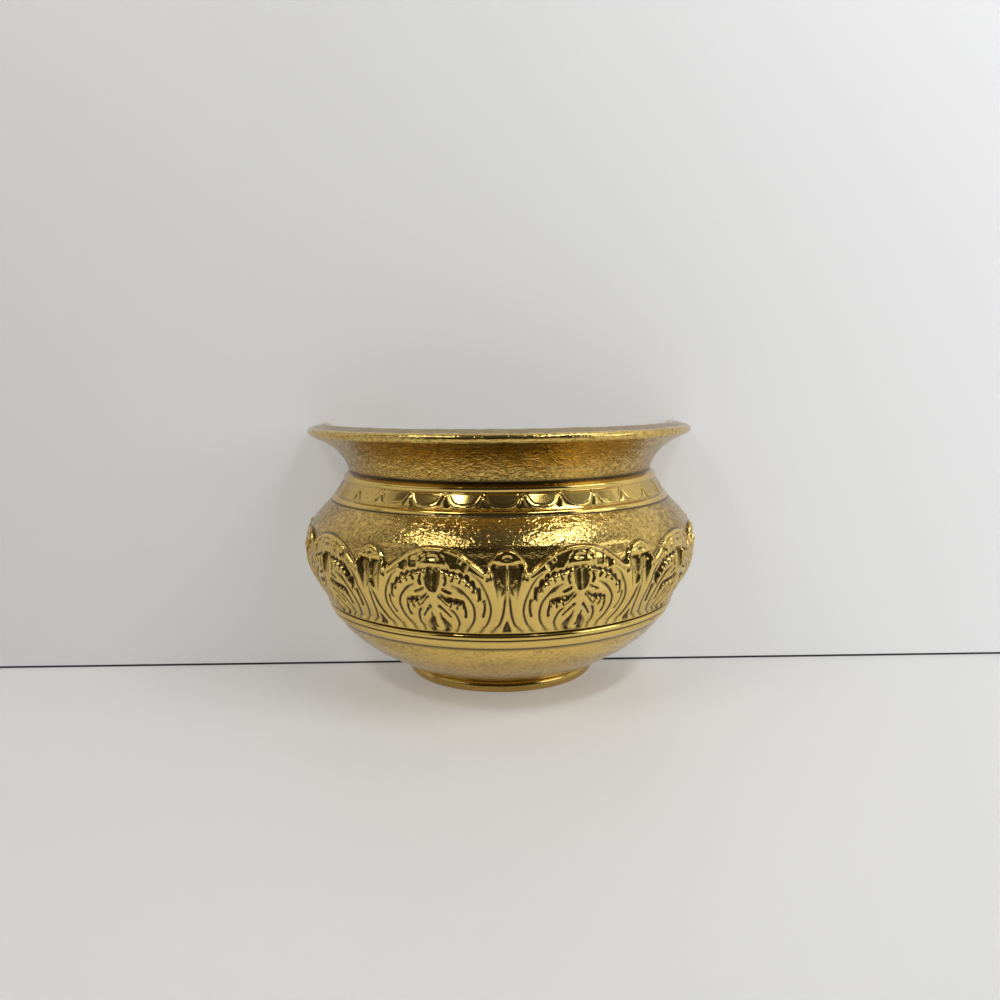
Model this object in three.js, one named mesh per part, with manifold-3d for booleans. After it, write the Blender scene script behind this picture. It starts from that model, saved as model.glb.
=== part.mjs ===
// Half-round brass wall pocket: a pressed front shell, a flat back plate, a foot ring and the solder that
// joins them.
// Millimetres, +Z up. The wall plane is Y = 0, the pocket stands out towards -Y, and it rests on Z = 0.
import * as THREE from "three";
import { mergeVertices } from "three/addons/utils/BufferGeometryUtils.js";
import Module from "manifold-3d";

// Sheet and joints
const SHEET = 0.9; // wall of the pressed shell
const BACK_SHEET = 1.0; // wall of the back plate
const SOLDER_GAP = 0.3; // space that the solder fills between two pieces
const SOLDER_LEG = 2.0; // leg of a solder fillet

// Foot and floor
const FOOT_RADIUS = 58.5;
const FOOT_HEIGHT = 6.2;
const FOOT_WALL = 3.2;
const FOOT_SWELL = 1.2; // how far the foot's face bulges past its edges

// Lower bowl
const FLOOR_CORNER = 3.0; // run of the rounded corner between the floor and the bowl
const BOWL_HEIGHT = 33.8;
const BOWL_RISE_LOW = 28; // degrees above level where the bowl leaves the floor
const BOWL_RISE_HIGH = 61; // degrees above level where the bowl meets the double ridge
const BOWL_PULL_LOW = 25;
const BOWL_PULL_HIGH = 13;

// Double ridge under the frieze
const RIDGE_RADIUS = 103.0;
const RIDGE_BAND_HEIGHT = 5.2;
const RIDGE_BAND_FLARE = 2.8;
const RIDGE_BEAD_HEIGHT = 3.0;
const RIDGE_BEAD_FLARE = 1.2;
const RIDGE_SWELL = 1.1;
const RIDGE_GROOVE_DEPTH = 0.9;
const RIDGE_GROOVE_HEIGHT = 1.4;

// Belly and shoulder
const BELLY_RADIUS = 120.0;
const FRIEZE_HEIGHT = 30.4; // from the groove under the leaves to the widest place
const BELLY_PULL_LOW = 20;
const BELLY_PULL_MIDDLE = 10;
const BELLY_PULL_HIGH = 15;
const BELLY_RISE_LOW = 58; // degrees above level where the frieze starts
const SHOULDER_RADIUS = 104.2;
const SHOULDER_HEIGHT = 30.2;
const SHOULDER_LEAN = 44; // degrees above level where the shoulder meets the band
const SHOULDER_PULL = 13;

// Lunette band and its two fillets
const BAND_RADIUS_LOW = 100.2;
const BAND_RADIUS_HIGH = 96.2;
const LOWER_FILLET_HEIGHT = 2.8;
const BAND_HEIGHT = 8.8;
const FILLET_SWELL = 1.1;
const UPPER_FILLET_HEIGHT = 3.8;
const UPPER_FILLET_LEAN = 1.6;
const NECK_GROOVE_DEPTH = 1.5;
const NECK_GROOVE_HEIGHT = 0.8;

// Flared neck
const NECK_HEIGHT = 24.6; // up to the middle of the rim's outer edge
const NECK_RISE = 77; // degrees above level at the foot of the neck
const NECK_PULL_LOW = 12.5;
const NECK_PULL_HIGH = 12.5;
const FLARE_RISE = 24; // degrees above level where the flare meets the rim

// Rolled rim
const RIM_RADIUS = 117.3;
const RIM_NOSE = 2.4; // radius of the rounded outer edge
const RIM_TOP_RISE = 2.0; // climb of the top face towards the inner edge
const RIM_WIDTH = 12.7; // from the outer edge to the inner edge
const RIM_CURL = 1.7; // radius of the turned-down inner edge
const RIM_CURL_DROP = 2.2;
const RIM_INNER_RADIUS = RIM_RADIUS - RIM_WIDTH;

// Back plate
const BACK_DROP = 11.4; // from the top of the rim down to the plate's straight edge
const KEYHOLE_DROP = 16.0; // from the plate's straight edge down to the middle of the round part
const KEYHOLE_HEAD = 9.5; // diameter that lets a screw head through
const KEYHOLE_SLOT = 4.8; // width of the slot that the shank slides into
const KEYHOLE_RISE = 8.0; // from the middle of the round part to the middle of the slot's end

// Facets
const TURN_STEPS = 60; // around a whole turn
const CURVE_STEPS = 8;
const BEAD_STEPS = 4;
const HOLE_STEPS = 12;
const OFFSET_SHARE = 0.97; // least share of an offset that a kept point has
const MERGE_WITHIN = 1e-3; // points this near each other are one
const SEAM_SMOOTHING = 3; // points each way that settle the direction of a fillet's leg

const wasm = await Module();
wasm.setup();

// Colours of the brass and of the solder
const pressedBrass = new THREE.MeshStandardMaterial({ color: 0xb8923f, roughness: 0.3, metalness: 1 });
const plateBrass = new THREE.MeshStandardMaterial({ color: 0xa8873e, roughness: 0.45, metalness: 1 });
const footBrass = new THREE.MeshStandardMaterial({ color: 0xae8c3c, roughness: 0.25, metalness: 1 });
const softSolder = new THREE.MeshStandardMaterial({ color: 0x8f8c84, roughness: 0.5, metalness: 1 });

const radians = THREE.MathUtils.degToRad;
const FLOOR_RADIUS = FOOT_RADIUS - FLOOR_CORNER;

// A point that lies `pull` along a direction given in degrees above level.
function along(from, degrees, pull) {
  const angle = radians(degrees);
  return new THREE.Vector2(from.x + pull * Math.cos(angle), from.y + pull * Math.sin(angle));
}

// Outer outline of the shell in (radius, height), from the middle of the floor to the turned-down edge of
// the rim.
function shellOutline() {
  const pieces = [];
  let pen = new THREE.Vector2(0, FOOT_HEIGHT);
  const add = (curve, steps) => {
    pieces.push(curve.getPoints(steps).slice(1));
    pen = pieces.at(-1).at(-1);
  };
  const line = (x, y) => add(new THREE.LineCurve(pen, new THREE.Vector2(x, y)), 1);
  const sweep = (control1, control2, end) =>
    add(new THREE.CubicBezierCurve(pen, control1, control2, end), CURVE_STEPS);
  // A rounded bead from the pen to a point, bulging to the right of the way.
  const bead = (x, y, swell) => {
    const end = new THREE.Vector2(x, y);
    const across = end.clone().sub(pen).normalize();
    const middle = pen.clone().lerp(end, 0.5);
    const peak = middle.add(new THREE.Vector2(across.y, -across.x).multiplyScalar(2 * swell));
    add(new THREE.QuadraticBezierCurve(pen, peak, end), BEAD_STEPS);
  };

  const start = pen;

  // Flat floor, its rounded corner and the lower bowl
  line(FLOOR_RADIUS, FOOT_HEIGHT);
  const corner = new THREE.Vector2(FOOT_RADIUS, FOOT_HEIGHT);
  const cornerEnd = along(corner, BOWL_RISE_LOW, FLOOR_CORNER);
  add(new THREE.QuadraticBezierCurve(pen, corner, cornerEnd), BEAD_STEPS);
  const ridge = new THREE.Vector2(RIDGE_RADIUS, FOOT_HEIGHT + BOWL_HEIGHT);
  sweep(along(pen, BOWL_RISE_LOW, BOWL_PULL_LOW), along(ridge, BOWL_RISE_HIGH, -BOWL_PULL_HIGH), ridge);

  // Double ridge: a broad band, a narrow bead and the groove under the leaves
  bead(pen.x + RIDGE_BAND_FLARE, pen.y + RIDGE_BAND_HEIGHT, RIDGE_SWELL);
  bead(pen.x + RIDGE_BEAD_FLARE, pen.y + RIDGE_BEAD_HEIGHT, RIDGE_SWELL);
  line(pen.x - RIDGE_GROOVE_DEPTH, pen.y + RIDGE_GROOVE_HEIGHT / 2);
  line(pen.x + 2 * RIDGE_GROOVE_DEPTH, pen.y + RIDGE_GROOVE_HEIGHT / 2);

  // Belly and shoulder
  const belly = new THREE.Vector2(BELLY_RADIUS, pen.y + FRIEZE_HEIGHT);
  sweep(along(pen, BELLY_RISE_LOW, BELLY_PULL_LOW), along(belly, 90, -BELLY_PULL_MIDDLE), belly);
  const shoulder = new THREE.Vector2(SHOULDER_RADIUS, pen.y + SHOULDER_HEIGHT);
  sweep(along(pen, 90, BELLY_PULL_HIGH), along(shoulder, -SHOULDER_LEAN, SHOULDER_PULL), shoulder);

  // Lower fillet, lunette band, upper fillet and the groove under the neck
  bead(BAND_RADIUS_LOW + FILLET_SWELL, pen.y + LOWER_FILLET_HEIGHT, FILLET_SWELL);
  line(BAND_RADIUS_LOW, pen.y);
  line(BAND_RADIUS_HIGH, pen.y + BAND_HEIGHT);
  bead(pen.x - UPPER_FILLET_LEAN, pen.y + UPPER_FILLET_HEIGHT, FILLET_SWELL);
  line(pen.x - NECK_GROOVE_DEPTH, pen.y + NECK_GROOVE_HEIGHT);

  // Flared neck up to the underside of the rim
  const noseMiddle = new THREE.Vector2(RIM_RADIUS - RIM_NOSE, pen.y + NECK_HEIGHT);
  const flareEnd = along(noseMiddle, FLARE_RISE - 90, RIM_NOSE);
  sweep(along(pen, NECK_RISE, NECK_PULL_LOW), along(flareEnd, FLARE_RISE, -NECK_PULL_HIGH), flareEnd);

  // Rounded outer edge, the top face and the turned-down inner edge
  const noseStart = radians(FLARE_RISE - 90);
  const round = (middle, radius, from, to) =>
    new THREE.EllipseCurve(middle.x, middle.y, radius, radius, from, to);
  add(round(noseMiddle, RIM_NOSE, noseStart, Math.PI / 2), CURVE_STEPS);
  line(RIM_INNER_RADIUS + RIM_CURL, pen.y + RIM_TOP_RISE);
  const curlMiddle = new THREE.Vector2(pen.x, pen.y - RIM_CURL);
  add(round(curlMiddle, RIM_CURL, Math.PI / 2, Math.PI), BEAD_STEPS);
  line(pen.x, pen.y - RIM_CURL_DROP);

  return [start, ...pieces.flat()];
}

// Points a fixed distance to the left of an open outline, without those that fall nearer than that to it.
function offsetLeft(points, distance) {
  const shifted = points.map((point, i) => {
    const before = points[Math.max(i - 1, 0)];
    const after = points[Math.min(i + 1, points.length - 1)];
    const arriving = point.clone().sub(before).normalize();
    const leaving = after.clone().sub(point).normalize();
    const way = arriving.add(leaving).normalize();
    const shift = distance / (way.dot(leaving) || 1);
    return new THREE.Vector2(point.x - way.y * shift, point.y + way.x * shift);
  });
  const nearest = new THREE.Vector3();
  const clear = (p) =>
    points.slice(1).every((end, i) => {
      const edge = new THREE.Line3(
        new THREE.Vector3(points[i].x, points[i].y, 0),
        new THREE.Vector3(end.x, end.y, 0),
      );
      const here = new THREE.Vector3(p.x, p.y, 0);
      return edge.closestPointToPoint(here, true, nearest).distanceTo(here) > OFFSET_SHARE * distance;
    });
  return shifted.filter(clear);
}

// A closed geometry as a solid that can be joined and cut.
function solid(geometry) {
  const bare = new THREE.BufferGeometry();
  bare.setAttribute("position", geometry.getAttribute("position"));
  bare.setIndex(geometry.getIndex());
  const merged = mergeVertices(bare, MERGE_WITHIN);
  const index = merged.index.array;
  const kept = [];
  for (let i = 0; i < index.length; i += 3) {
    const [a, b, c] = index.slice(i, i + 3);
    if (a !== b && b !== c && c !== a) kept.push(a, b, c);
  }
  const vertProperties = new Float32Array(merged.getAttribute("position").array);
  return new wasm.Manifold(new wasm.Mesh({ numProp: 3, vertProperties, triVerts: new Uint32Array(kept) }));
}

// The surface of a solid as a geometry.
function surface(body) {
  const { vertProperties, triVerts } = body.getMesh();
  const geometry = new THREE.BufferGeometry();
  geometry.setAttribute("position", new THREE.BufferAttribute(vertProperties, 3));
  geometry.setIndex(new THREE.BufferAttribute(triVerts, 1));
  geometry.computeVertexNormals();
  return geometry;
}

// Turns a section in (radius, height) about +Z.
function turned(section) {
  return new THREE.LatheGeometry(section, TURN_STEPS).rotateX(Math.PI / 2);
}

// The half of a turned solid that stands in front of the back plate.
const FRONT_Y = -(BACK_SHEET + SOLDER_GAP);
const SPAN = 2 * (BELLY_RADIUS + RIM_RADIUS);
function frontHalf(geometry) {
  const keep = new THREE.BoxGeometry(SPAN, SPAN, SPAN).translate(0, FRONT_Y - SPAN / 2, 0);
  return surface(solid(geometry).intersect(solid(keep)));
}

const outline = shellOutline();
const RIM_TOP = Math.max(...outline.map((p) => p.y));
const BACK_TOP = RIM_TOP - BACK_DROP;
const KEYHOLE_Z = BACK_TOP - KEYHOLE_DROP;

// Pressed shell: the outline and its lining, turned and halved.
function frontShell() {
  const lining = offsetLeft(outline, SHEET);
  const section = [...outline, ...lining.reverse()];
  return new THREE.Mesh(frontHalf(turned(section)), pressedBrass);
}

// Section of the foot in (radius, height): flat above and below, with a swelling outer face.
const FOOT_TOP = FOOT_HEIGHT - SOLDER_GAP;
const FOOT_EDGE = FOOT_RADIUS - FOOT_SWELL;
function footFace() {
  const low = new THREE.Vector2(FOOT_EDGE, 0);
  const peak = new THREE.Vector2(FOOT_EDGE + 2 * FOOT_SWELL, FOOT_TOP / 2);
  const high = new THREE.Vector2(FOOT_EDGE, FOOT_TOP);
  return new THREE.QuadraticBezierCurve(low, peak, high).getPoints(CURVE_STEPS);
}

function footRing() {
  const inner = FOOT_RADIUS - FOOT_WALL;
  const face = footFace();
  const section = [...face, new THREE.Vector2(inner, FOOT_TOP), new THREE.Vector2(inner, 0), face[0]];
  return new THREE.Mesh(frontHalf(turned(section)), footBrass);
}

// Solder in the corner between the inside of the foot ring and the underside of the floor.
function footSeam() {
  const outer = FOOT_RADIUS - FOOT_WALL - SOLDER_GAP;
  const high = FOOT_HEIGHT - SOLDER_GAP;
  const corner = new THREE.Vector2(outer, high);
  const section = [
    corner,
    new THREE.Vector2(outer - SOLDER_LEG, high),
    new THREE.Vector2(outer, high - SOLDER_LEG),
    corner,
  ];
  return new THREE.Mesh(frontHalf(turned(section)), softSolder);
}

// Half outline of the back plate in (x, height): the foot, then the shell up to the plate's top edge.
function plateSide() {
  const shellSide = outline.filter((p) => p.x > FLOOR_RADIUS && p.y < BACK_TOP);
  const next = outline[outline.indexOf(shellSide.at(-1)) + 1];
  const last = shellSide.at(-1);
  const share = (BACK_TOP - last.y) / (next.y - last.y);
  return [...footFace(), ...shellSide, last.clone().lerp(next, share)];
}

// Hanging hole: a round part for the screw head and a narrower slot above it for the shank.
function keyhole() {
  const head = KEYHOLE_HEAD / 2;
  const slot = KEYHOLE_SLOT / 2;
  const meet = Math.asin(slot / head);
  const hole = new THREE.Path();
  hole.absarc(0, KEYHOLE_Z, head, Math.PI / 2 + meet, Math.PI / 2 - meet + 2 * Math.PI, false);
  hole.absarc(0, KEYHOLE_Z + KEYHOLE_RISE, slot, 0, Math.PI, false);
  hole.closePath();
  return hole;
}

function backPlate() {
  const right = plateSide();
  const left = right.map((p) => new THREE.Vector2(-p.x, p.y)).reverse();
  const shape = new THREE.Shape([...right, ...left]);
  shape.holes.push(keyhole());
  const extruded = new THREE.ExtrudeGeometry(shape, {
    depth: BACK_SHEET,
    bevelEnabled: false,
    curveSegments: HOLE_STEPS,
  });
  return new THREE.Mesh(extruded.rotateX(Math.PI / 2), plateBrass);
}

// Solder in the corner between the shell's lining and the back plate: a three-sided fillet that runs from
// one end of the plate's top edge round the floor to the other.
function backSeam() {
  const highest = BACK_TOP - SOLDER_LEG;
  const lining = offsetLeft(outline, SHEET + SOLDER_GAP);
  const seat = lining.slice(0, lining.findIndex((p) => p.y > highest));
  const toe = seat.map((point, i) => {
    const before = seat[Math.max(i - SEAM_SMOOTHING, 0)];
    const after = seat[Math.min(i + SEAM_SMOOTHING, seat.length - 1)];
    const way = after.clone().sub(before).normalize();
    return new THREE.Vector2(point.x - way.y * SOLDER_LEG, point.y + way.x * SOLDER_LEG);
  });
  toe[0] = new THREE.Vector2(0, seat[0].y + SOLDER_LEG);
  const station = (i, side) => [
    [side * seat[i].x, FRONT_Y, seat[i].y],
    [side * toe[i].x, FRONT_Y, toe[i].y],
    [side * seat[i].x, FRONT_Y - SOLDER_LEG, seat[i].y],
  ];
  const last = seat.length - 1;
  const leftToFloor = seat.map((_, i) => station(last - i, -1));
  const floorToRight = seat.slice(1).map((_, i) => station(i + 1, 1));
  return new THREE.Mesh(threeSidedBar([...leftToFloor, ...floorToRight]), softSolder);
}

// A closed bar through triangular stations.
function threeSidedBar(stations) {
  const index = [0, 2, 1];
  for (let i = 0; i < stations.length - 1; i++) {
    for (let k = 0; k < 3; k++) {
      const [a, b] = [3 * i + k, 3 * i + ((k + 1) % 3)];
      index.push(a, b, a + 3, b, b + 3, a + 3);
    }
  }
  const end = 3 * (stations.length - 1);
  index.push(end, end + 1, end + 2);
  const geometry = new THREE.BufferGeometry();
  geometry.setAttribute("position", new THREE.Float32BufferAttribute(stations.flat(2), 3));
  geometry.setIndex(index);
  geometry.computeVertexNormals();
  return geometry;
}

const pocket = new THREE.Group();
const pieces = {
  front_shell: frontShell(),
  back_plate: backPlate(),
  foot_ring: footRing(),
  back_seam_solder: backSeam(),
  foot_seam_solder: footSeam(),
};
for (const [name, mesh] of Object.entries(pieces)) {
  mesh.name = name;
  pocket.add(mesh);
}

export default pocket;
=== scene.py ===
"""Looks of a half-round brass wall pocket: hammered shell, back plate, foot ring and solder seams."""
import math
import bmesh
import bpy
import numpy as np
from mathutils import Matrix, Vector


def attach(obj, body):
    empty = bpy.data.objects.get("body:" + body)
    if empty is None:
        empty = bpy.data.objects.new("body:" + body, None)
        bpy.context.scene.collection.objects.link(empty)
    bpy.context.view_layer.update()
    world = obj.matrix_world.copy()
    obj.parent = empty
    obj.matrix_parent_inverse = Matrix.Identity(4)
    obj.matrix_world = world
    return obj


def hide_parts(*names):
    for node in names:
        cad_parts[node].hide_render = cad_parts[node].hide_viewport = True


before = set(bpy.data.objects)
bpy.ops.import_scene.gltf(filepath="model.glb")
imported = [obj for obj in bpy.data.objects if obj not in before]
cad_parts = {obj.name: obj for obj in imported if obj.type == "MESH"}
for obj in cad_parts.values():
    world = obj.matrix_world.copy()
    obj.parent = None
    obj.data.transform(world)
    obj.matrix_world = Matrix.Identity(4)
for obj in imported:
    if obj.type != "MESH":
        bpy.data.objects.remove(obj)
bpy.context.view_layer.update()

# Lengths below are in millimetres and angles in degrees, unless a comment says otherwise.
MM = 0.001

# Sheet, joints and the plane that the shell is cut along
SHEET = 0.9
BACK_SHEET = 1.0
SOLDER_GAP = 0.3
SOLDER_LEG = 2.0
CUT_Y = -(BACK_SHEET + SOLDER_GAP)

# Foot and floor
FOOT_RADIUS = 58.5
FOOT_HEIGHT = 6.2
FOOT_WALL = 3.2
FOOT_SWELL = 1.2
FLOOR_CORNER = 3.0

# Lower bowl and the double ridge over it
BOWL_HEIGHT = 33.8
BOWL_RISE_LOW = 28
BOWL_RISE_HIGH = 61
BOWL_PULL_LOW = 25
BOWL_PULL_HIGH = 13
RIDGE_RADIUS = 103.0
RIDGE_BAND_HEIGHT = 5.2
RIDGE_BAND_FLARE = 2.8
RIDGE_BEAD_HEIGHT = 3.0
RIDGE_BEAD_FLARE = 1.2
RIDGE_SWELL = 1.1
RIDGE_GROOVE_DEPTH = 0.9
RIDGE_GROOVE_HEIGHT = 1.4

# Belly and shoulder
BELLY_RADIUS = 120.0
FRIEZE_HEIGHT = 30.4
BELLY_PULL_LOW = 20
BELLY_PULL_MIDDLE = 10
BELLY_PULL_HIGH = 15
BELLY_RISE_LOW = 58
SHOULDER_RADIUS = 104.2
SHOULDER_HEIGHT = 30.2
SHOULDER_LEAN = 44
SHOULDER_PULL = 13

# Lunette band and its fillets
BAND_RADIUS_LOW = 100.2
BAND_RADIUS_HIGH = 96.2
LOWER_FILLET_HEIGHT = 2.8
BAND_HEIGHT = 8.8
FILLET_SWELL = 1.1
UPPER_FILLET_HEIGHT = 3.8
UPPER_FILLET_LEAN = 1.6
NECK_GROOVE_DEPTH = 1.5
NECK_GROOVE_HEIGHT = 0.8

# Flared neck and rolled rim
NECK_HEIGHT = 24.6
NECK_RISE = 77
NECK_PULL_LOW = 12.5
NECK_PULL_HIGH = 12.5
FLARE_RISE = 24
RIM_RADIUS = 117.3
RIM_NOSE = 2.4
RIM_TOP_RISE = 2.0
RIM_INNER_RADIUS = 104.6
RIM_CURL = 1.7
RIM_CURL_DROP = 2.2

# Back plate and its hanging hole
BACK_DROP = 11.4
KEYHOLE_DROP = 16.0
KEYHOLE_HEAD = 9.5
KEYHOLE_SLOT = 4.8
KEYHOLE_RISE = 8.0
PLATE_EDGE_ROUND = 0.25

# Repeats of the ornament, in degrees from one small leaf or lunette to the next
LEAF_REPEAT = 36.8
LEAF_TURN = 0.7  # how far the middle small leaf stands to the right
LUNETTE_REPEAT = 12
LEAF_GROUND = 1.6  # how far the ground under the leaves lies inside the outline
LEAF_TOP = 49.5  # height of the arches over the foot of the frieze, along the wall
FRIEZE_SPARE = 1.5  # how far the frieze goes on over the arches

# Columns round the half turn: fine on the ornament, plainer elsewhere
FINE, MIDDLE, PLAIN = 640, 320, 160


def smooth(low, high, value):
    """0 below low, 1 above high and a soft step between."""
    t = np.clip((np.asarray(value, float) - low) / (high - low), 0, 1)
    return t * t * (3 - 2 * t)


def along(start, degrees, pull):
    """The place that lies pull along a direction above level."""
    angle = math.radians(degrees)
    return start[0] + pull * math.cos(angle), start[1] + pull * math.sin(angle)


def curve_through(controls, steps=60):
    """A Bezier curve of any degree."""
    points = np.array(controls, float)
    t = np.linspace(0, 1, steps + 1)[:, None, None]
    layers = np.repeat(points[None], steps + 1, axis=0)
    while layers.shape[1] > 1:
        layers = layers[:, :-1] * (1 - t) + layers[:, 1:] * t
    return layers[:, 0]


def bead(start, end, swell):
    """A rounded bead that bulges to the right of the way from start to end."""
    start, end = np.array(start), np.array(end)
    across = (end - start) / np.linalg.norm(end - start)
    peak = (start + end) / 2 + 2 * swell * np.array([across[1], -across[0]])
    return curve_through([start, peak, end], 24)


def arc(middle, radius, first, last, steps=24):
    angles = np.radians(np.linspace(first, last, steps + 1))
    return np.stack([middle[0] + radius * np.cos(angles), middle[1] + radius * np.sin(angles)], -1)


def shell_outline():
    """The shell's outside in (radius, height), zone by zone, from the middle of the floor to the lip."""
    zones = {}
    pen = (0.0, FOOT_HEIGHT)

    def add(zone, points):
        nonlocal pen
        zones[zone] = np.array(points, float)
        pen = tuple(zones[zone][-1])

    add("floor", [pen, (FOOT_RADIUS - FLOOR_CORNER, FOOT_HEIGHT)])
    corner = (FOOT_RADIUS, FOOT_HEIGHT)
    add("corner", curve_through([pen, corner, along(corner, BOWL_RISE_LOW, FLOOR_CORNER)], 12))
    ridge = (RIDGE_RADIUS, FOOT_HEIGHT + BOWL_HEIGHT)
    add("bowl", curve_through([pen, along(pen, BOWL_RISE_LOW, BOWL_PULL_LOW),
                               along(ridge, BOWL_RISE_HIGH, -BOWL_PULL_HIGH), ridge]))
    add("ridge_band", bead(pen, (pen[0] + RIDGE_BAND_FLARE, pen[1] + RIDGE_BAND_HEIGHT), RIDGE_SWELL))
    add("ridge_bead", bead(pen, (pen[0] + RIDGE_BEAD_FLARE, pen[1] + RIDGE_BEAD_HEIGHT), RIDGE_SWELL))
    deep = (pen[0] - RIDGE_GROOVE_DEPTH, pen[1] + RIDGE_GROOVE_HEIGHT / 2)
    add("ridge_groove", [pen, deep, (deep[0] + 2 * RIDGE_GROOVE_DEPTH, deep[1] + RIDGE_GROOVE_HEIGHT / 2)])
    belly = (BELLY_RADIUS, pen[1] + FRIEZE_HEIGHT)
    low = curve_through([pen, along(pen, BELLY_RISE_LOW, BELLY_PULL_LOW),
                         along(belly, 90, -BELLY_PULL_MIDDLE), belly])
    shoulder = (SHOULDER_RADIUS, belly[1] + SHOULDER_HEIGHT)
    high = curve_through([belly, along(belly, 90, BELLY_PULL_HIGH),
                          along(shoulder, -SHOULDER_LEAN, SHOULDER_PULL), shoulder])
    wall = np.vstack([low, high[1:]])
    rise = np.r_[0, np.cumsum(np.linalg.norm(np.diff(wall, axis=0), axis=1))]
    top = int(np.searchsorted(rise, LEAF_TOP + FRIEZE_SPARE))
    add("frieze", wall[:top + 1])
    add("shoulder", wall[top:])
    top_edge = (BAND_RADIUS_LOW + FILLET_SWELL, pen[1] + LOWER_FILLET_HEIGHT)
    add("lower_fillet", bead(pen, top_edge, FILLET_SWELL))
    add("band_step", [pen, (BAND_RADIUS_LOW, pen[1])])
    add("band", [pen, (BAND_RADIUS_HIGH, pen[1] + BAND_HEIGHT)])
    add("upper_fillet", bead(pen, (pen[0] - UPPER_FILLET_LEAN, pen[1] + UPPER_FILLET_HEIGHT), FILLET_SWELL))
    add("neck_groove", [pen, (pen[0] - NECK_GROOVE_DEPTH, pen[1] + NECK_GROOVE_HEIGHT)])
    nose = (RIM_RADIUS - RIM_NOSE, pen[1] + NECK_HEIGHT)
    flare = along(nose, FLARE_RISE - 90, RIM_NOSE)
    add("neck", curve_through([pen, along(pen, NECK_RISE, NECK_PULL_LOW),
                               along(flare, FLARE_RISE, -NECK_PULL_HIGH), flare]))
    add("rim_nose", arc(nose, RIM_NOSE, FLARE_RISE - 90, 90))
    add("rim_top", [pen, (RIM_INNER_RADIUS + RIM_CURL, pen[1] + RIM_TOP_RISE)])
    add("rim_curl", arc((pen[0], pen[1] - RIM_CURL), RIM_CURL, 90, 180))
    add("lip", [pen, (pen[0], pen[1] - RIM_CURL_DROP)])
    return zones


outline = shell_outline()
RIM_TOP = max(points[:, 1].max() for points in outline.values())
BACK_TOP = RIM_TOP - BACK_DROP
KEYHOLE_Z = BACK_TOP - KEYHOLE_DROP

# Leaf die: one half repeat, from the small leaf's middle line to the big leaf's.
# x is the distance from the small leaf's middle line at the belly, y the distance up the wall.
DIE_STEP = 0.2
LEAF_HALF = math.radians(LEAF_REPEAT / 2) * (BELLY_RADIUS - LEAF_GROUND)
DIE_LOW = -1.0
DIE_HIGH = 52.0

# Outlines of the two leaves
ARCH = [(9.6, 36.6), (12.6, 38.2), (16.3, 41.1), (20.1, 43.8), (23.8, 46.4), (27.5, 47.8), (31.2, 48.9),
        (37.2, 49.5), (43.0, 49.0)]
SMALL_HEAD = [(-2.7, 48.0), (0.0, 48.5), (2.7, 47.9), (5.4, 46.3), (7.9, 43.4), (9.2, 40.4), (9.9, 37.4),
              (11.6, 35.2)]
# Veins cut into the lobes
STEM_VEIN = [(0.9, 27.5), (1.2, 22.0), (1.7, 17.2), (2.7, 10.8), (4.8, 4.5), (9.05, 0.3)]
OUTER_VEIN = [(17.5, 36.6), (14.8, 34.3), (12.2, 30.3), (10.1, 25.1), (8.8, 19.8), (8.6, 15.1), (9.6, 9.8),
              (11.7, 4.5), (15.4, 0.0)]
MIDDLE_VEIN = [(27.6, 30.6), (25.2, 29.4), (22.7, 27.5), (19.6, 23.5), (17.7, 19.3), (17.2, 14.0),
               (18.0, 8.7), (20.1, 4.0), (23.3, 0.0)]
INNER_VEIN = [(30.4, 16.6), (29.2, 15.2), (27.7, 12.6), (26.7, 8.7), (26.7, 5.1), (28.7, 0.0)]
BULB_LINE = [(35.7, 14.0), (34.9, 11.0), (33.2, 8.3), (31.9, 6.2), (31.3, 4.2), (31.8, 2.2), (33.6, 1.1),
             (37.2, 0.9)]
# Steps where one lobe lies over the next: the far side slopes down to the line, the near side drops to it
UPPER_STEP = [(32.2, 38.0), (29.0, 37.3), (25.6, 36.6), (23.2, 35.2), (20.6, 34.2), (18.2, 31.4),
              (15.6, 28.9), (14.4, 25.5), (12.9, 22.9), (11.8, 20.2), (11.9, 15.6), (12.8, 11.6)]
LOWER_STEP = [(33.6, 24.4), (31.1, 22.6), (28.5, 21.9), (25.6, 21.4), (23.3, 20.4), (22.2, 17.8),
              (21.9, 14.2), (22.3, 11.2)]
# Eyes at the feet of the steps, wide below, and notches between fingertips, wide above:
# (line, half width at its top, half width at its foot)
GAPS = [
    ([(11.8, 22.4), (11.7, 18.6), (12.0, 15.2), (12.9, 11.6)], 0.45, 0.85),
    ([(14.2, 28.6), (14.1, 25.8), (14.9, 22.4)], 0.95, 0.30),
    ([(17.6, 32.4), (16.9, 30.2), (17.5, 27.4)], 0.95, 0.28),
    ([(20.6, 35.4), (19.9, 33.4), (20.8, 30.8)], 0.90, 0.25),
    ([(23.6, 36.6), (23.1, 34.6), (24.1, 32.2)], 0.85, 0.25),
    ([(27.4, 37.4), (26.9, 35.4), (28.0, 33.4)], 0.75, 0.22),
    ([(31.6, 36.2), (31.0, 33.6), (31.9, 31.0)], 0.60, 0.25),
    ([(32.6, 28.6), (30.6, 27.6), (28.2, 26.9)], 0.75, 0.20),
    ([(22.2, 18.0), (21.8, 14.8), (22.3, 11.2)], 0.45, 0.85),
    ([(23.2, 21.2), (22.6, 19.6), (23.1, 17.4)], 0.80, 0.30),
    ([(25.9, 22.0), (25.5, 19.8), (26.2, 16.8)], 0.90, 0.25),
    ([(29.3, 22.6), (28.8, 20.6), (29.7, 18.0)], 0.80, 0.22),
    ([(35.4, 24.6), (33.4, 22.3), (30.8, 19.2)], 0.80, 0.20),
    ([(35.6, 18.4), (33.2, 15.3), (30.2, 10.9)], 0.85, 0.25),
]
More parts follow.
